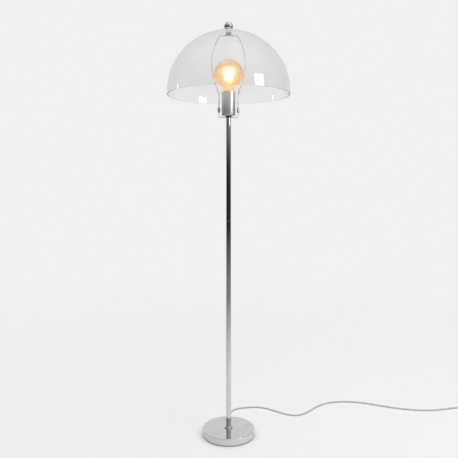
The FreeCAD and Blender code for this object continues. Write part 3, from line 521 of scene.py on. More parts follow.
@dataclass(frozen=True)
class WovenStrap:
    """Hook-and-loop strap: crossed threads with a soft nap, and painted shade in the gaps between
    the threads.
    """

    name: str
    light: Point
    dark: Point
    pitch: float = 0.7
    bands: float = 0.16                 # the wave pattern's scale for threads 1 m apart
    nap: float = 2500.0
    depth: float = 0.12

    def material(self) -> bpy.types.Material:
        """Build the node tree.

        Returns:
            The material.
        """
        sheet = NodeSheet(bpy.data.materials.new(self.name))
        warp, weft = (sheet.add("ShaderNodeTexWave", {
            "Vector": sheet.place(), "Scale": self.bands / (self.pitch * MM),
            "Distortion": 0.6, "Detail": 1.0}, bands_direction=direction).outputs["Fac"]
            for direction in "XY")
        # The threads' pattern sets both the bump and the colour: lighter on the raised threads,
        # with painted shade making the gaps between them darker.
        thread = sheet.worked_out("MULTIPLY", warp, weft)
        height = sheet.worked_out("ADD", thread, sheet.noise(self.nap, 2.0))
        shader = sheet.add("ShaderNodeBsdfPrincipled", {
            "Base Color": sheet.blended(thread, self.dark, opaque(self.light)),
            "Roughness": 0.9,
            "Sheen Weight": 0.5,
            "Normal": sheet.bump(height, self.depth)})
        return sheet.surface(shader.outputs[0])


@dataclass(frozen=True)
class ClearWall:
    """Clear acrylic or glass that lets lamps shine through, with faint moulding waves."""

    name: str
    tint: Point
    hazy: Point
    ior: float
    smooth: float
    rough: float
    shadow: Point
    wave: float = 9.0
    wave_depth: float = 0.02
    edge: float = 1.0                   # how much of the tint is left where it is seen edge on
    edge_start: float = 0.45
    edge_full: float = 0.95
    glow: Point = (0.0, 0.0, 0.0)
    glow_low: float = 0.0
    glow_high: float = 0.0
    glow_bottom: float = 1150.0
    glow_top: float = 1222.0

    def colour(self, sheet: NodeSheet, haze: Socket) -> Socket:
        """Tint with its haze, deeper where the wall is seen edge on.

        Args:
            sheet: The node tree.
            haze: The haze pattern.

        Returns:
            The colour.
        """
        colour = sheet.mottled(haze, self.tint, self.hazy)
        if self.edge == 1.0:
            return colour
        facing = sheet.add("ShaderNodeLayerWeight", {"Blend": 0.5}).outputs["Facing"]
        left = sheet.ranged(facing, 1.0, self.edge, self.edge_start, self.edge_full)
        return sheet.vector("SCALE", colour, Scale=left).outputs[0]

    def material(self) -> bpy.types.Material:
        """Build the node tree.

        Returns:
            The material.
        """
        sheet = NodeSheet(bpy.data.materials.new(self.name))
        haze = sheet.noise(self.wave * 3, 4.0)
        shader = sheet.add("ShaderNodeBsdfPrincipled", {
            "Base Color": self.colour(sheet, haze),
            "Roughness": sheet.ranged(haze, self.smooth, self.rough),
            "IOR": self.ior,
            "Transmission Weight": 1.0,
            "Normal": sheet.bump(sheet.noise(self.wave, 1.0), self.wave_depth)})
        if self.glow_high:
            shader.inputs["Emission Color"].default_value = opaque(self.glow)
            level = sheet.ranged(sheet.height(sheet.place()), self.glow_high, self.glow_low,
                                 self.glow_bottom * MM, self.glow_top * MM)
            sheet.tree.links.new(level, shader.inputs["Emission Strength"])
        through = sheet.add("ShaderNodeBsdfTransparent", {"Color": opaque(self.shadow)})
        return sheet.surface(sheet.mixed(sheet.ray("Is Shadow Ray"), shader.outputs[0],
                                         through.outputs[0]))


@dataclass(frozen=True)
class LitCoating:
    """Glowing coating on the bulb's light sticks, hottest at mid height."""

    name: str
    colour: Point
    strength: float
    bottom: float
    top: float
    cool: float = 0.6                   # share of the strength that is left at both ends
    warmth: Point = (1.0, 0.86, 0.7)

    def material(self) -> bpy.types.Material:
        """Build the node tree.

        Returns:
            The material.
        """
        sheet = NodeSheet(bpy.data.materials.new(self.name))
        along = sheet.ranged(sheet.height(sheet.place()), -1.0, 1.0, self.bottom * MM,
                             self.top * MM)
        ends = sheet.worked_out("POWER", along, 2.0)
        warm = tuple(part * share for part, share in zip(self.colour, self.warmth))
        shader = sheet.add("ShaderNodeBsdfPrincipled", {
            "Base Color": sheet.mottled(sheet.noise(900.0, 2.0), self.colour, warm),
            "Roughness": 0.6,
            "Emission Color": opaque(self.colour),
            "Emission Strength": sheet.ranged(ends, self.strength, self.strength * self.cool,
                                              0.0, 1.0)})
        return sheet.surface(shader.outputs[0])


class Finish(Enum):
    """The lamp's finishes, each under the record's material slot."""

    CHROME = ("chrome", Metal("chrome_plate", (0.66, 0.66, 0.655), (0.60, 0.60, 0.60), 0.035,
                              0.075))
    SATIN = ("chrome", Metal("satin_chrome", (0.59, 0.585, 0.575), (0.57, 0.565, 0.555), 0.33,
                             0.35, metallic=0.72))
    WIRE = ("wire_steel", Metal("satin_wire", (0.62, 0.61, 0.60), (0.52, 0.51, 0.50), 0.14, 0.26))
    ZINC = ("zinc_steel", Metal("zinc_plate", (0.56, 0.57, 0.58), (0.44, 0.45, 0.46), 0.26, 0.42))
    DARK = ("dark_steel", Metal("blackened_steel", (0.13, 0.13, 0.12), (0.07, 0.07, 0.07), 0.25,
                                0.4))
    BRASS = ("brass", Metal("drawn_brass", (0.78, 0.61, 0.30), (0.62, 0.46, 0.2), 0.16, 0.32))
    CAP = ("bulb_cap", Metal("rolled_cap", (0.74, 0.73, 0.70), (0.6, 0.59, 0.57), 0.18, 0.34))
    IRON = ("cast_iron", Moulding("raw_casting", (0.17, 0.17, 0.175), (0.09, 0.09, 0.09), 0.6, 0.9,
                                  420.0, 0.25))
    CERAMIC = ("holder_body", Moulding("steatite", (0.88, 0.87, 0.84), (0.8, 0.79, 0.75), 0.25, 0.4,
                                       500.0, 0.02, coat=0.2))
    NYLON = ("holder_ring", Moulding("natural_nylon", (0.86, 0.86, 0.83), (0.78, 0.77, 0.73), 0.35,
                                     0.5, subsurface=0.2))
    FOAM = ("felt_pad", Moulding("foam_rubber", (0.05, 0.05, 0.05), (0.025, 0.025, 0.025), 0.8, 1.0,
                                 1400.0, 0.12))
    JACKET = ("lead", Moulding("lead_jacket", (0.66, 0.66, 0.645), (0.6, 0.6, 0.585), 0.32, 0.44,
                               260.0, 0.02, coat=0.15, subsurface=0.15))
    FITTING = ("lead_fittings", Moulding("grey_moulding", (0.7, 0.69, 0.67), (0.66, 0.65, 0.63),
                                         0.34, 0.46, 1600.0, 0.02))
    BUTTON = ("button", Moulding("button_moulding", (0.56, 0.55, 0.54), (0.52, 0.51, 0.5), 0.25,
                                 0.36, 1600.0, 0.01))
    SLEEVE = ("pin_sleeve", Moulding("pin_sleeve", (0.1, 0.1, 0.1), (0.07, 0.07, 0.07), 0.4, 0.55))
    STRAP = ("tie", WovenStrap("woven_strap", (0.17, 0.17, 0.18), (0.05, 0.05, 0.055)))
    ACRYLIC = ("smoke_acrylic", ClearWall("clear_acrylic", (0.94, 0.93, 0.937),
                                          (0.925, 0.915, 0.922), 1.49, 0.0, 0.015,
                                          (0.93, 0.93, 0.935), edge=0.8))
    AMBER = ("amber_glass", ClearWall("amber_globe", (0.9, 0.765, 0.55), (0.88, 0.735, 0.52), 1.5,
                                      0.36, 0.42, (0.92, 0.82, 0.68), wave=24.0,
                                      wave_depth=0.004, glow=(1.0, 0.66, 0.34), glow_low=0.03,
                                      glow_high=0.1))
    GLASS = ("clear_glass", ClearWall("stem_glass", (0.97, 0.97, 0.96), (0.94, 0.95, 0.94), 1.5,
                                      0.02, 0.08, (0.95, 0.95, 0.94), wave=60.0))
    LIT = ("filament", LitCoating("lit_coating", (1.0, 0.84, 0.55), 22.0, 1153.5, 1189.5))

    @property
    def slot(self) -> str:
        """The record's material slot."""
        return self.value[0]


@cache
def material_of(finish: Finish) -> bpy.types.Material:
    """The finish's material, built once."""
    return finish.value[1].material()


# ================================================================ sub-assemblies
BASE_TOP = 23.0
NIPPLE_HOLE = 5.1       # radius of the holes that the threaded nipples pass
ARM = 31.3              # from the lamp's axis to the saddle's arms and the harp's legs
HALF_ROD = 2.5          # radius of the saddle's tongues and the harp's feet, which meet
FERRULE_BOTTOM = 1050.0


class SubAssembly:
    """Group of pieces that are made and dressed together."""

    def paint(self, piece: Piece, finish: Finish) -> None:
        """Give an object its finish."""
        piece.data.materials.clear()
        piece.data.materials.append(material_of(finish))

    def hang(self, piece: Piece, body: str, finish: Finish, *nodes: str) -> Piece:
        """Dress a new piece and hang it on its body.

        Args:
            piece: The finished piece.
            body: The body that it moves with.
            finish: Its finish.
            *nodes: The CAD nodes that it stands for.

        Returns:
            The piece.
        """
        self.paint(piece, finish)
        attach(piece, body)
        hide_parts(*nodes)
        LOG.info("%s: %s on %s, for %s", type(self).__name__, piece.name, body, ", ".join(nodes))
        return piece

    def refine(self, node: str, name: str, body: str, finish: Finish,
               edge: float = 0.0) -> Piece:
        """Hang a smooth-shaded copy in a CAD node's stead."""
        return self.hang(copied(node, name, edge), body, finish, node)

    def dress(self, finish: Finish, *nodes: str) -> None:
        """Dress CAD nodes whose own shape is right.

        Args:
            finish: Their finish.
            *nodes: The nodes.
        """
        for node in nodes:
            self.paint(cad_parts[node], finish)
            LOG.info("%s: %s keeps its shape", type(self).__name__, node)

    def build(self) -> None:
        """Make and dress the pieces."""
        raise NotImplementedError


@dataclass
class MainsLead(SubAssembly):
    """Mains lead with its strain relief, foot switch, put-away coil and plug."""

    diameter: float = 5.5
    length: float = 2.02                # metres, from the strain relief's tip into the plug
    coil_middle_radius: float = 31.0
    coil_pitch: float = 6.4
    coil_turns_per_layer: int = 2
    points_per_half_turn: int = 8
    relief_edge: float = 0.12

    def floor_route(self) -> list[Point]:
        """Route from the strain relief through the foot switch to the coil."""
        return [
            (0, 112, 8.0), (0, 130, 8.0), (2, 158, 2.8), (20, 191, 2.8), (66, 207, 2.8),
            (119, 209, 2.8), (156, 184, 2.8), (196, 150, 2.8), (238, 134, 2.8), (278, 160, 2.8),
            (312, 204, 2.8), (360, 246, 2.8), (428, 262, 2.8), (500, 248, 2.8), (570, 214, 2.8),
            (642, 187, 2.8), (716, 178, 2.8), (786, 192, 2.8), (838, 208, 2.8), (871, 192, 3.6),
            (875, 153, 7.0), (875, 116, 7.0), (875, 76, 7.0), (875, 48, 7.0), (876.5, 20, 3.8),
            (875, 5, 3.8), (875, -8, 3.8)]

    def plug_route(self) -> list[Point]:
        """Route from the coil into the plug."""
        return [(875, -19, 10.2), (875, -36, 10.2), (872, -59, 6.85), (872, -76, 6.85)]

    def coil_route(self) -> list[Point]:
        """Turns of the coil: inwards on the floor, up a layer, and outwards again.

        Returns:
            The points of the coil's half turns.
        """
        entry_x, entry_y, low = self.floor_route()[-1]
        step = self.coil_pitch / 2
        halves = 2 * self.coil_turns_per_layer
        largest = self.coil_middle_radius + step * (halves - 1) / 2
        high = low + self.coil_pitch
        layers = [(largest - step * index, low, low) for index in range(halves)]
        layers.append((largest - step * halves, low, high))
        layers += [(largest - step * (halves - 1 - index), high, high)
                   for index in range(halves - 1)]
        middle_y = entry_y - self.diameter
        count = self.points_per_half_turn
        reach = 1 / math.cos(math.pi / (2 * count))
        points: list[Point] = []
        at_x, side = entry_x, 1
        for radius, start, end in layers:
            centre_x = at_x - side * radius
            for index in range(count):
                share = (index + 0.5) / count
                angle = math.pi * share
                points.append((centre_x + side * reach * radius * math.cos(angle),
                               middle_y - side * reach * radius * math.sin(angle),
                               start + (end - start) * share))
            at_x -= 2 * side * radius
            side = -side
        return points

    def cord(self) -> Piece:
        """The lead's whole length as one smooth line.

        Returns:
            The lead, hung in the place of its four CAD nodes.
        """
        curve = bpy.data.curves.new("mains_lead", "CURVE")
        curve.dimensions = "3D"
        route = self.floor_route() + self.coil_route() + self.plug_route()
        spline = curve.splines.new("NURBS")
        spline.points.add(len(route) - 1)
        for point, place in zip(spline.points, route):
            point.co = (*(value * MM for value in place), 1.0)
        spline.order_u = 3
        spline.use_endpoint_u = True
        spline.resolution_u = 6
        curve.bevel_depth = self.diameter / 2 * MM
        curve.bevel_resolution = 4
        curve.use_fill_caps = True
        lead = bpy.data.objects.new("mains_lead", curve)
        bpy.context.scene.collection.objects.link(lead)
        return self.hang(lead, "stand", Finish.JACKET, "cord_lead", "cord_tail", "cord_coil",
                         "cord_plug_lead")

    def build(self) -> None:
        """Make the lead and the pieces on it."""
        lead = self.cord()
        relief = self.refine("cord_grommet", "strain_relief", "stand", Finish.JACKET,
                             self.relief_edge)
        base = self.refine("switch_base", "switch_lower_shell", "stand", Finish.FITTING)
        cover = self.refine("switch_cover", "switch_upper_shell", "stand", Finish.FITTING)
        button = self.refine("switch_button", "foot_button_cap", "foot_button", Finish.BUTTON)
        plug = self.refine("plug_body", "plug_moulding", "stand", Finish.FITTING)
        pins = self.refine("plug_pins", "plug_pin_pair", "stand", Finish.BRASS)
        self.dress(Finish.ZINC, "switch_screws", "switch_spring")
        self.dress(Finish.BRASS, "switch_terminals")
        self.dress(Finish.FITTING, "switch_block")
        self.dress(Finish.SLEEVE, "plug_sleeves")
        self.dress(Finish.STRAP, "coil_tie")


@dataclass
class Base(SubAssembly):
    """Weighted foot: a chrome cover over a cast disc, with a foam pad below."""

    radius: float = 84.0
    bottom: float = 2.5
    wall: float = 1.0
    edge: float = 1.6
    rim_edge: float = 0.3
    collar_bore: float = 8.1
    collar_radius: float = 13.0
    collar_height: float = 4.5
    collar_edge: float = 1.5
    collar_corner: float = 0.3

    def cover(self) -> Piece:
        """Pressed cover with a rounded upper edge.

        Returns:
            The cover.
        """
        inner, under = self.radius - self.wall, BASE_TOP - self.wall
        outline = rounded([(NIPPLE_HOLE, BASE_TOP), (self.radius, BASE_TOP, self.edge),
                           (self.radius, self.bottom, self.rim_edge), (inner, self.bottom),
                           (inner, under, self.edge - self.wall), (NIPPLE_HOLE, under)], steps=8)
        return turned("base_cover_pressing", outline, segments=160)

    def collar(self) -> Piece:
        """Ring round the pole's foot.

        Returns:
            The ring.
        """
        top = BASE_TOP + self.collar_height
        outline = rounded([(self.collar_bore, BASE_TOP),
                           (self.collar_radius, BASE_TOP, self.collar_corner),
                           (self.collar_radius, top, self.collar_edge),
                           (self.collar_bore, top, self.collar_corner)])
        return turned("pole_collar", outline, segments=80)

    def build(self) -> None:
        """Make and dress the foot's pieces."""
        self.hang(self.cover(), "stand", Finish.CHROME, "base_cover")
        self.hang(self.collar(), "stand", Finish.CHROME, "base_collar")
        self.dress(Finish.FOAM, "foot_pad")
        self.dress(Finish.ZINC, "base_plate", "base_plate_screws", "base_nipple",
                   "nipple_washers", "cord_clamp", "small_screws")
        self.dress(Finish.IRON, "base_weight")


@dataclass
class Pole(SubAssembly):
    """Three chrome tubes screwed end to end."""

    radius: float = 8.0
    wall: float = 1.0
    section: float = 336.0
    edge: float = 0.25
    nut_edge: float = 0.2

    def tube(self, name: str, bottom: float) -> Piece:
        """One tube, its ends just broken so that the joints show as hairlines.

        Args:
            name: The tube's name.
            bottom: Height of its lower end.

        Returns:
            The tube.
        """
        inner, top = self.radius - self.wall, bottom + self.section
        outline = rounded([(inner, bottom), (self.radius, bottom, self.edge),
                           (self.radius, top, self.edge), (inner, top)], steps=3)
        return turned(name, outline, segments=72)

    def build(self) -> None:
        """Make and dress the pole's pieces."""
        for index, node in enumerate(("pole_lower", "pole_middle", "pole_upper")):
            tube = self.tube(f"{node}_tube", BASE_TOP + index * self.section)
            self.hang(tube, "stand", Finish.CHROME, node)
        self.dress(Finish.BRASS, "pole_bushes")
        self.dress(Finish.ZINC, "pole_nipples", "top_nipple")
        self.dress(Finish.JACKET, "pole_lead")
        self.refine("lock_nuts", "lock_nut_set", "stand", Finish.DARK, self.nut_edge)


@dataclass
class Saddle(SubAssembly):
    """U strip on the pole's top, with a tongue on each arm and its ferrule."""

    thickness: float = 1.5
    width: float = 12.0
    bottom: float = 1031.0
    shoulder: float = 1049.8
    bend: float = 7.75                  # middle of the strip
    edge: float = 0.3
    tongue_bottom: float = 1046.8
    tongue_top: float = 1062.8
    ferrule_radius: float = 4.7
    ferrule_bore: float = 2.58
    ferrule_length: float = 14.0
    ferrule_edge: float = 0.7
    bore_edge: float = 0.3

    def strip(self) -> Piece:
        """Bent strip with softened edges and its two tongues.

        Returns:
            The joined bracket.
        """
        deselect()
        bpy.ops.mesh.primitive_plane_add(size=MM, location=(-ARM * MM, 0, self.shoulder * MM))
        bpy.ops.object.mode_set(mode="EDIT")
        bpy.ops.transform.resize(value=(self.thickness, self.width, 1))
        bpy.ops.mesh.delete(type="ONLY_FACE")
        bpy.ops.object.mode_set(mode="OBJECT")
        level = self.bottom + self.thickness / 2 + self.bend
        drop = self.shoulder - level
        inner = ARM - self.bend
        strip = swept("saddle_strip", [
            Run(0, -drop), Bend(-inner, level, 90, 10, Heading.INWARD), Run(2 * inner, 0),
            Bend(inner, level, 90, 10, Heading.INWARD), Run(0, drop)])
        softened(strip, self.edge)
        tongues = [half_round(f"tongue_{side}", side * ARM, self.tongue_bottom, self.tongue_top,
                              behind=True) for side in (-1, 1)]
        return smoothed(joined("saddle_bracket", strip, *tongues))

    def ferrule(self, name: str, x: float) -> Piece:
        """Sliding sleeve with rounded ends.

        Args:
            name: The sleeve's name.
            x: Its place along X.

        Returns:
            The sleeve.
        """
        top = FERRULE_BOTTOM + self.ferrule_length
        outline = rounded([(self.ferrule_bore, FERRULE_BOTTOM, self.bore_edge),
                           (self.ferrule_radius, FERRULE_BOTTOM, self.ferrule_edge),
                           (self.ferrule_radius, top, self.ferrule_edge),
                           (self.ferrule_bore, top, self.bore_edge)], steps=4)
        return turned(name, outline, segments=48, centre=(x, 0.0))

    def build(self) -> None:
        """Make and dress the saddle's pieces."""
        self.hang(self.strip(), "stand", Finish.CHROME, "saddle")
        for side, x in (("left", -ARM), ("right", ARM)):
            self.hang(self.ferrule(f"{side}_sleeve", x), f"{side}_ferrule", Finish.CHROME,
                      f"ferrule_{side}")


@dataclass
class Harp(SubAssembly):
    """Bowed wire that carries the shade, with its clip, stud and nut."""

    wire: float = 1.5                   # radius
    foot_top: float = 1063.3
    neck_top: float = 1065.3
    neck_overlap: float = 0.1
    neck_bottom_edge: float = 0.2
    neck_top_edge: float = 0.7
    knee: float = 1107.8
    knee_radius: float = 12.0
    flare: float = 18.0                 # degrees
    widest: float = 54.8
    top: float = 1300.0
    top_half_width: float = 28.0
    corner: float = 4.0
    clip_edge: float = 0.15
    nut_edge: float = 0.25

    def side_moves(self) -> list[Run | Bend]:
        """Stretches of the right half, from the neck up to the middle of the top.

        Returns:
            Leg, knee, flared stretch, bow, top corner and level top.
        """
        slope = math.tan(math.radians(self.flare) / 2)
        spread = (self.widest - ARM) / math.tan(math.radians(self.flare))
        inward = self.widest - self.top_half_width
        rise = self.top - self.knee - spread
        term = rise * slope + inward
        bow = (term - math.sqrt(2 * rise * slope * inward
                                + inward**2 * (1 - slope**2))) / slope**2
        centre_x, centre_z = self.widest - bow, self.knee + bow * slope + spread
        corner_z = self.top - self.corner
        corner_x = centre_x + math.sqrt((bow - self.corner)**2 - (corner_z - centre_z)**2)
        turned_to = math.degrees(math.atan2(corner_z - centre_z, corner_x - centre_x))
        entry = self.knee - self.knee_radius * slope
        lean = math.radians(self.flare)
        leave = (ARM + self.knee_radius * (1 - math.cos(lean)),
                 entry + self.knee_radius * math.sin(lean))
        start = (centre_x + bow * math.cos(lean), centre_z - bow * math.sin(lean))
        return [Run(0, entry - self.foot_top),
                Bend(ARM + self.knee_radius, entry, self.flare, 6, Heading.OUTWARD),
                Run(start[0] - leave[0], start[1] - leave[1]),
                Bend(centre_x, centre_z, self.flare + turned_to, 48, Heading.INWARD),
                Bend(corner_x, corner_z, 90 - turned_to, 8, Heading.INWARD),
                Run(-corner_x, 0)]

    def half_wire(self) -> Piece:
        """Right half of the wire, cut open on the lamp's middle plane.

        Returns:
            The half wire.
        """
        deselect()
        bpy.ops.mesh.primitive_circle_add(vertices=20, radius=self.wire * MM,
                                          location=(ARM * MM, 0, self.foot_top * MM))
        wire = swept("half_wire", self.side_moves())
        bpy.ops.object.mode_set(mode="EDIT")
        bpy.ops.mesh.select_all(action="SELECT")
        bpy.ops.mesh.bisect(plane_co=(SLIT * MM, 0, 0), plane_no=(1, 0, 0), clear_inner=True)
        bpy.ops.mesh.select_all(action="DESELECT")
        bpy.ops.object.mode_set(mode="OBJECT")
        for vertex in wire.data.vertices:
            vertex.select = vertex.co.x < 2 * SLIT * MM
        bpy.ops.object.mode_set(mode="EDIT")
        bpy.ops.transform.resize(value=(0, 1, 1), center_override=(0, 0, 0))
        bpy.ops.object.mode_set(mode="OBJECT")
        return wire

    def bowed_wire(self) -> Piece:
        """Right half of the wire with its foot and neck, mirrored to the left.

        Returns:
            The whole wire.
        """
        wire = self.half_wire()
        foot = half_round("foot", ARM, FERRULE_BOTTOM, self.foot_top, behind=False)
        neck_bottom = self.foot_top - self.neck_overlap
        outline = rounded([(0, neck_bottom), (HALF_ROD, neck_bottom, self.neck_bottom_edge),
                           (HALF_ROD, self.neck_top, self.neck_top_edge), (0, self.neck_top)],
                          steps=4)
        neck = turned("neck", outline, segments=40, centre=(ARM, 0.0))
        whole = joined("harp_bow", wire, foot, neck)
        mirror = whole.modifiers.new("other_side", "MIRROR")
        mirror.use_mirror_merge, mirror.merge_threshold = True, MERGE
        bpy.ops.object.modifier_apply(modifier=mirror.name)
        bpy.ops.object.mode_set(mode="EDIT")
        closed_up()
        return smoothed(whole)

    def build(self) -> None:
        """Make and dress the harp's pieces."""
        self.hang(self.bowed_wire(), "stand", Finish.WIRE, "harp_wire")
        self.refine("harp_clip", "wire_clip", "stand", Finish.WIRE, self.clip_edge)
        self.refine("harp_nut", "stud_nut", "stand", Finish.DARK, self.nut_edge)
        self.dress(Finish.WIRE, "harp_stud")


@dataclass
class LampHolder(SubAssembly):
    """Satin cup round the lamp holder's ceramic body."""

    radius: float = 22.5
    bottom: float = 1037.5
    top: float = 1116.0
    wall: float = 0.8
    edge: float = 3.0
    mouth_edge: float = 0.35

    def cup(self) -> Piece:
        """Drawn cup with a rounded bottom edge and an eased mouth.

        Returns:
            The cup.
        """
        inner, floor = self.radius - self.wall, self.bottom + self.wall
        outline = rounded([(NIPPLE_HOLE, self.bottom), (self.radius, self.bottom, self.edge),
                           (self.radius, self.top, self.mouth_edge),
                           (inner, self.top, self.mouth_edge),
                           (inner, floor, self.edge - self.wall), (NIPPLE_HOLE, floor)], steps=8)
        return turned("holder_cup", outline, segments=96)

    def build(self) -> None:
        """Make and dress the holder's pieces."""
        self.hang(self.cup(), "stand", Finish.SATIN, "socket_cover")
        self.dress(Finish.ZINC, "socket_bridge")
        self.dress(Finish.CERAMIC, "socket_insert")
        self.dress(Finish.BRASS, "socket_shell", "socket_contact", "socket_terminals")
        self.dress(Finish.JACKET, "socket_wires")
        self.dress(Finish.NYLON, "socket_ring")


@dataclass
class Bulb(SubAssembly):
    """Lit amber globe bulb with upright light sticks."""

    radius: float = 47.5
    centre: float = 1175.0
    wall: float = 1.0
    neck: float = 17.0
    fillet: float = 22.0
    foot: float = 11.45
    foot_bottom: float = 1104.5
    shoulder: float = 1108.0
    neck_bottom: float = 1113.5
    shoulder_rise: float = 0.6          # how far the shoulder's inner skin rises per offset

    def skin(self, offset: float) -> Outline:
        """Half outline of the glass, from its foot to its crown.

        Args:
            offset: How far inside the outer skin it lies.

        Returns:
            The outline's points.
        """
        fillet_x = self.neck + self.fillet
        fillet_z = self.centre - math.sqrt((self.radius + self.fillet)**2 - fillet_x**2)
        lean = math.degrees(math.atan2(fillet_z - self.centre, fillet_x))
        rise = offset * self.shoulder_rise
        points = [(self.foot - offset, self.foot_bottom),
                  (self.foot - offset, self.shoulder + rise),
                  (self.neck - offset, self.neck_bottom + rise)]
        points += arc((fillet_x, fillet_z), self.fillet + offset, 180, 180 + lean, steps=14)
        points += arc((0, self.centre), self.radius - offset, lean, 90, steps=52)[1:]
        return points

    def globe(self) -> Piece:
        """Hollow glass globe on its neck."""
        outline = self.skin(self.wall)[::-1] + self.skin(0.0)
        return turned("bulb_globe", outline, segments=96, closed=False)

    def build(self) -> None:
        """Make and dress the bulb's pieces."""
        self.hang(self.globe(), "bulb", Finish.AMBER, "bulb_glass")
        self.refine("bulb_cap", "bulb_screw_cap", "bulb", Finish.CAP)
        self.refine("bulb_stem", "bulb_glass_stem", "bulb", Finish.GLASS)
        self.dress(Finish.CERAMIC, "bulb_insulator")
        self.dress(Finish.BRASS, "bulb_contact")
        self.dress(Finish.WIRE, "bulb_supports")
        self.dress(Finish.LIT, "bulb_filaments")


@dataclass
class Shade(SubAssembly):
    """Clear dome, clamped between two washers by a ball."""

    radius: float = 200.0
    wall: float = 2.5
    centre: float = 1114.507
    rim: float = 1104.707
    hole: float = 4.0
    rim_edge: float = 0.5
    seat_radius: float = 11.0
    seat_bottom: float = 1309.5
    seat_top: float = 1311.5
    washer_radius: float = 9.0
    washer_bottom: float = 1314.71
    washer_top: float = 1316.11
    washer_bore: float = 3.3
    washer_edge: float = 0.4
    ball_radius: float = 15.0
    ball_centre: float = 1329.576
    ball_bottom: float = 1316.31
    ball_foot: float = 7.0
    thread_radius: float = 3.08
    thread_top: float = 1327.31

    def dome(self) -> Piece:
        """Half sphere on a short straight skirt, with an eased rim and one hole.

        Returns:
            The dome.
        """
        inner = self.radius - self.wall
        rim = rounded([(inner, self.centre), (inner, self.rim, self.rim_edge),
                       (self.radius, self.rim, self.rim_edge), (self.radius, self.centre)],
                      steps=4)
        ends = [math.degrees(math.acos(self.hole / radius)) for radius in (self.radius, inner)]
        crown = arc((0, self.centre), self.radius, 0, ends[0], steps=72)[1:]
        under = arc((0, self.centre), inner, ends[1], 0, steps=72)[:-1]
        return turned("clear_dome", rim + crown + under, segments=192)

    def ball(self) -> Piece:
        """Ball nut with a flat foot and a blind thread.

        Returns:
            The ball.
        """
        start = -math.degrees(math.acos(self.ball_foot / self.ball_radius))
        outline = arc((0, self.ball_centre), self.ball_radius, 90, start, steps=36)
        outline += [(self.thread_radius, self.ball_bottom), (self.thread_radius, self.thread_top),
                    (0, self.thread_top)]
        return turned("ball_finial", outline, segments=72, closed=False)

    def flat_ring(self, name: str, radius: float, bottom: float, top: float) -> Piece:
        """Washer with eased edges.

        Args:
            name: The washer's name.
            radius: Its outer radius.
            bottom: Height of its lower face.
            top: Height of its upper face.

        Returns:
            The washer.
        """
        outline = rounded([(self.washer_bore, bottom), (radius, bottom, self.washer_edge),
                           (radius, top, self.washer_edge), (self.washer_bore, top)], steps=4)
        return turned(name, outline)

    def build(self) -> None:
        """Make and dress the shade's pieces."""
        self.hang(self.dome(), "shade", Finish.ACRYLIC, "shade")
        seat = self.flat_ring("under_washer", self.seat_radius, self.seat_bottom, self.seat_top)
        self.hang(seat, "shade_carrier", Finish.NYLON, "shade_seat")
        washer = self.flat_ring("upper_washer", self.washer_radius, self.washer_bottom,
                                self.washer_top)
        self.hang(washer, "top_washer", Finish.CHROME, "shade_washer")
        self.hang(self.ball(), "finial", Finish.CHROME, "finial")


# ================================================================ studio
@dataclass
class Camera:
    """Level camera that takes in the whole lamp."""

    lens: float = 42.63
    sensor: float = 36.0
    distance: float = 1.7676            # metres, as all of the studio's sizes
    height: float = 0.8211
    shift_x: float = 0.0009
    shift_y: float = -0.1019

    def build(self) -> None:
        """Set the camera up in front of the lamp."""
        data = bpy.data.cameras.new("studio_camera")
        data.lens, data.sensor_width = self.lens, self.sensor
        data.shift_x, data.shift_y = self.shift_x, self.shift_y
        camera = bpy.data.objects.new("studio_camera", data)
        camera.location = (0, -self.distance, self.height)
        camera.rotation_euler = (math.radians(90), 0, 0)
        bpy.context.scene.collection.objects.link(camera)
        bpy.context.scene.camera = camera


@dataclass(frozen=True)
class SoftBox:
    """Soft white lamp that faces a point on the lamp's axis."""

    name: str
    azimuth: float                      # degrees from the front towards +X
    distance: float
    height: float
    width: float
    depth: float
    watts: float
    aim: float = 1.15                   # height of the point that it faces

    def build(self) -> None:
        """Hang the lamp."""
        data = bpy.data.lights.new(self.name, "AREA")
        data.shape = "RECTANGLE"
        data.size, data.size_y, data.energy = self.width, self.depth, self.watts
        lamp = bpy.data.objects.new(self.name, data)
        turn = math.radians(self.azimuth)
        lamp.location = (self.distance * math.sin(turn), -self.distance * math.cos(turn),
                         self.height)
        pitch = math.atan2(self.distance, self.height - self.aim)
        lamp.rotation_euler = (pitch, 0, turn)
        lamp.visible_camera = False
        bpy.context.scene.collection.objects.link(lamp)


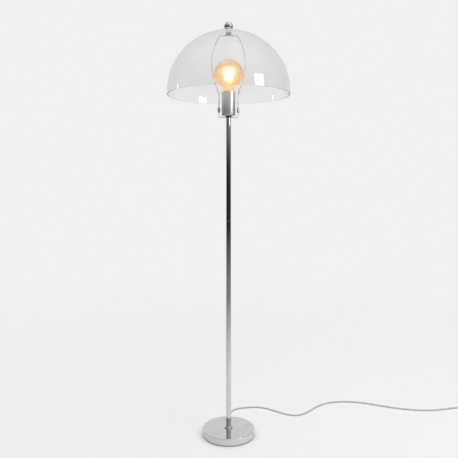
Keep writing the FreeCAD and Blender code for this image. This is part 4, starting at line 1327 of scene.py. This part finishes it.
@dataclass
class Studio:
    """Pale floor and backdrop, with a dim room in front for the metal to mirror."""

    backdrop: Point = (0.872 * 0.998, 0.872, 0.872 * 1.004)
    backdrop_in_metal: Point = (0.872, 0.872, 0.872)
    floor: Point = (0.86, 0.86, 0.86)
    daylight: float = 0.955
    floor_size: float = 60.0
    fade: Point = (0.9, 2.6)            # where the floor starts to fade, and where it is gone
    front: Point = (-0.02, -1.0, 0.0)   # towards the dim end of the room
    front_range: Point = (-0.8, -0.3)   # how far towards it the dimness starts and is full
    side: Point = (0.64, -0.77, 0.0)    # towards the brighter front right
    side_range: Point = (0.45, 0.95)
    floor_gain: float = 1.18
    room_gain: float = 2.1
    floor_reach: float = 10.0
    floor_levels: tuple[Point, ...] = ((0.0, 0.84), (0.06, 0.8), (0.11, 0.6), (0.2, 0.3),
                                       (0.4, 0.16), (0.8, 0.03))
    room_levels: tuple[Point, ...] = ((0.0, 0.02), (0.035, 0.03), (0.08, 0.12), (0.12, 0.18),
                                      (0.3, 0.22), (0.55, 0.45), (0.9, 0.8))
    softboxes: tuple[SoftBox, ...] = (
        SoftBox("right_softbox", azimuth=55.0, distance=1.94, height=1.56, width=0.6, depth=0.7,
                watts=7.0),
        SoftBox("left_strip", azimuth=-102.0, distance=2.0, height=1.40, width=0.12, depth=0.2,
                watts=0.25))

    def towards(self, sheet: NodeSheet, vector: Socket, heading: Point) -> Socket:
        """How nearly a direction, laid flat, points along a heading.

        Args:
            sheet: The node tree.
            vector: A direction, or a place on the floor seen from the lamp's foot.
            heading: The level heading.

        Returns:
            1 along the heading, -1 against it.
        """
        flat = sheet.add("ShaderNodeVectorMath", {0: vector, 1: (1.0, 1.0, 0.0)},
                         operation="MULTIPLY")
        unit = sheet.vector("NORMALIZE", flat.outputs[0])
        facing = sheet.add("ShaderNodeVectorMath", {0: unit.outputs[0], 1: heading},
                           operation="DOT_PRODUCT")
        return facing.outputs["Value"]

    def frontness(self, sheet: NodeSheet, vector: Socket) -> Socket:
        """How far a direction points into the dim front of the room, from 0 to 1."""
        return sheet.ranged(self.towards(sheet, vector, self.front), 0.0, 1.0, *self.front_range)

    def mirrored(self, sheet: NodeSheet) -> Socket:
        """1 where a ray comes from a mirror-like surface, and not through a clear one."""
        return sheet.worked_out("SUBTRACT", sheet.ray("Is Glossy Ray"),
                                sheet.ray("Is Transmission Ray"), clamp=True)

    def dim_level(self, sheet: NodeSheet, vector: Socket, position: Socket,
                  levels: Sequence[Point], gain: float) -> Socket:
        """Grey of the dim room, brighter at its front right.

        Args:
            sheet: The node tree.
            vector: A direction, or a place on the floor.
            position: What the levels follow, from 0 to 1.
            levels: Stops of (position, level), in rising order.
            gain: How much brighter the front right is.

        Returns:
            The grey.
        """
        ramp = sheet.add("ShaderNodeValToRGB", {"Fac": position})
        elements = ramp.color_ramp.elements
        while len(elements) < len(levels):
            elements.new(0.5)
        for element, (stop, level) in zip(elements, levels):
            element.position = stop
            element.color = (level, level, level, 1.0)
        bright = sheet.ranged(self.towards(sheet, vector, self.side), 1.0, gain,
                              *self.side_range)
        return sheet.vector("SCALE", ramp.outputs["Color"], Scale=bright).outputs[0]

    def lay_floor(self) -> None:
        """Lay the floor, which fades into the backdrop and darkens in the metal's view."""
        deselect()
        bpy.ops.mesh.primitive_plane_add(size=self.floor_size)
        plane = named(bpy.context.object, "studio_floor")
        sheet = NodeSheet(bpy.data.materials.new("pale_floor"))
        place = sheet.place()
        span = sheet.vector("LENGTH", place).outputs["Value"]
        reach = sheet.ranged(span, 0.0, 1.0, 0.0, self.floor_reach)
        dim = self.dim_level(sheet, place, reach, self.floor_levels, self.floor_gain)
        glossy = self.mirrored(sheet)
        in_metal = sheet.worked_out("MULTIPLY", self.frontness(sheet, place), glossy)
        diffuse = sheet.add("ShaderNodeBsdfDiffuse",
                            {"Color": sheet.blended(in_metal, self.floor, dim)})
        away = sheet.ranged(span, 0.0, 1.0, *self.fade)
        gone = sheet.worked_out("MULTIPLY", away, sheet.worked_out("SUBTRACT", 1.0, glossy))
        clear = sheet.add("ShaderNodeBsdfTransparent")
        plane.data.materials.append(
            sheet.surface(sheet.mixed(gone, diffuse.outputs[0], clear.outputs[0])))
        plane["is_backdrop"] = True

    def light_room(self) -> None:
        """Light the room, pale for the eye and dim to the front in mirror-like metal."""
        world = bpy.data.worlds.new("studio_room")
        bpy.context.scene.world = world
        sheet = NodeSheet(world)
        direction = sheet.add("ShaderNodeTexCoord").outputs["Generated"]
        height = sheet.height(direction)
        dim = self.dim_level(sheet, direction, height, self.room_levels, self.room_gain)
        in_metal = sheet.blended(self.frontness(sheet, direction), self.backdrop_in_metal, dim)
        above = sheet.ranged(height, 0.0, math.sqrt(2 * self.daylight), 0.0, 1.0)
        room, light, eye = (
            sheet.add("ShaderNodeBackground", {"Color": colour, "Strength": strength}).outputs[0]
            for colour, strength in (
                (in_metal, 1.0),
                ((1.0, 1.0, 1.0, 1.0), sheet.worked_out("MULTIPLY", above, above)),
                (opaque(self.backdrop), 1.0)))
        seen = sheet.worked_out("MAXIMUM", sheet.ray("Is Camera Ray"),
                                sheet.ray("Is Transmission Ray"))
        pale = sheet.mixed(seen, light, eye)
        sheet.add("ShaderNodeOutputWorld",
                  {"Surface": sheet.mixed(self.mirrored(sheet), pale, room)})

    def build(self) -> None:
        """Lay the floor and hang the lights."""
        bpy.context.scene.view_settings.view_transform = "Standard"
        self.lay_floor()
        self.light_room()
        for softbox in self.softboxes:
            softbox.build()


# ================================================================ the whole lamp
def corners() -> list[list[float]]:
    """Lowest and highest corner of what is shown now."""
    return [list(corner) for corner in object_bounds()]


def main() -> None:
    """Build the studio, the lead and every sub-assembly."""
    logging.basicConfig(level=logging.INFO, format="%(message)s")
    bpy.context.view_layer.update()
    Camera().build()
    for assembly in (MainsLead(), Base(), Pole(), Saddle(), Harp(), LampHolder(), Bulb(), Shade()):
        assembly.build()
    Studio().build()


if __name__ == "__main__":
    main()
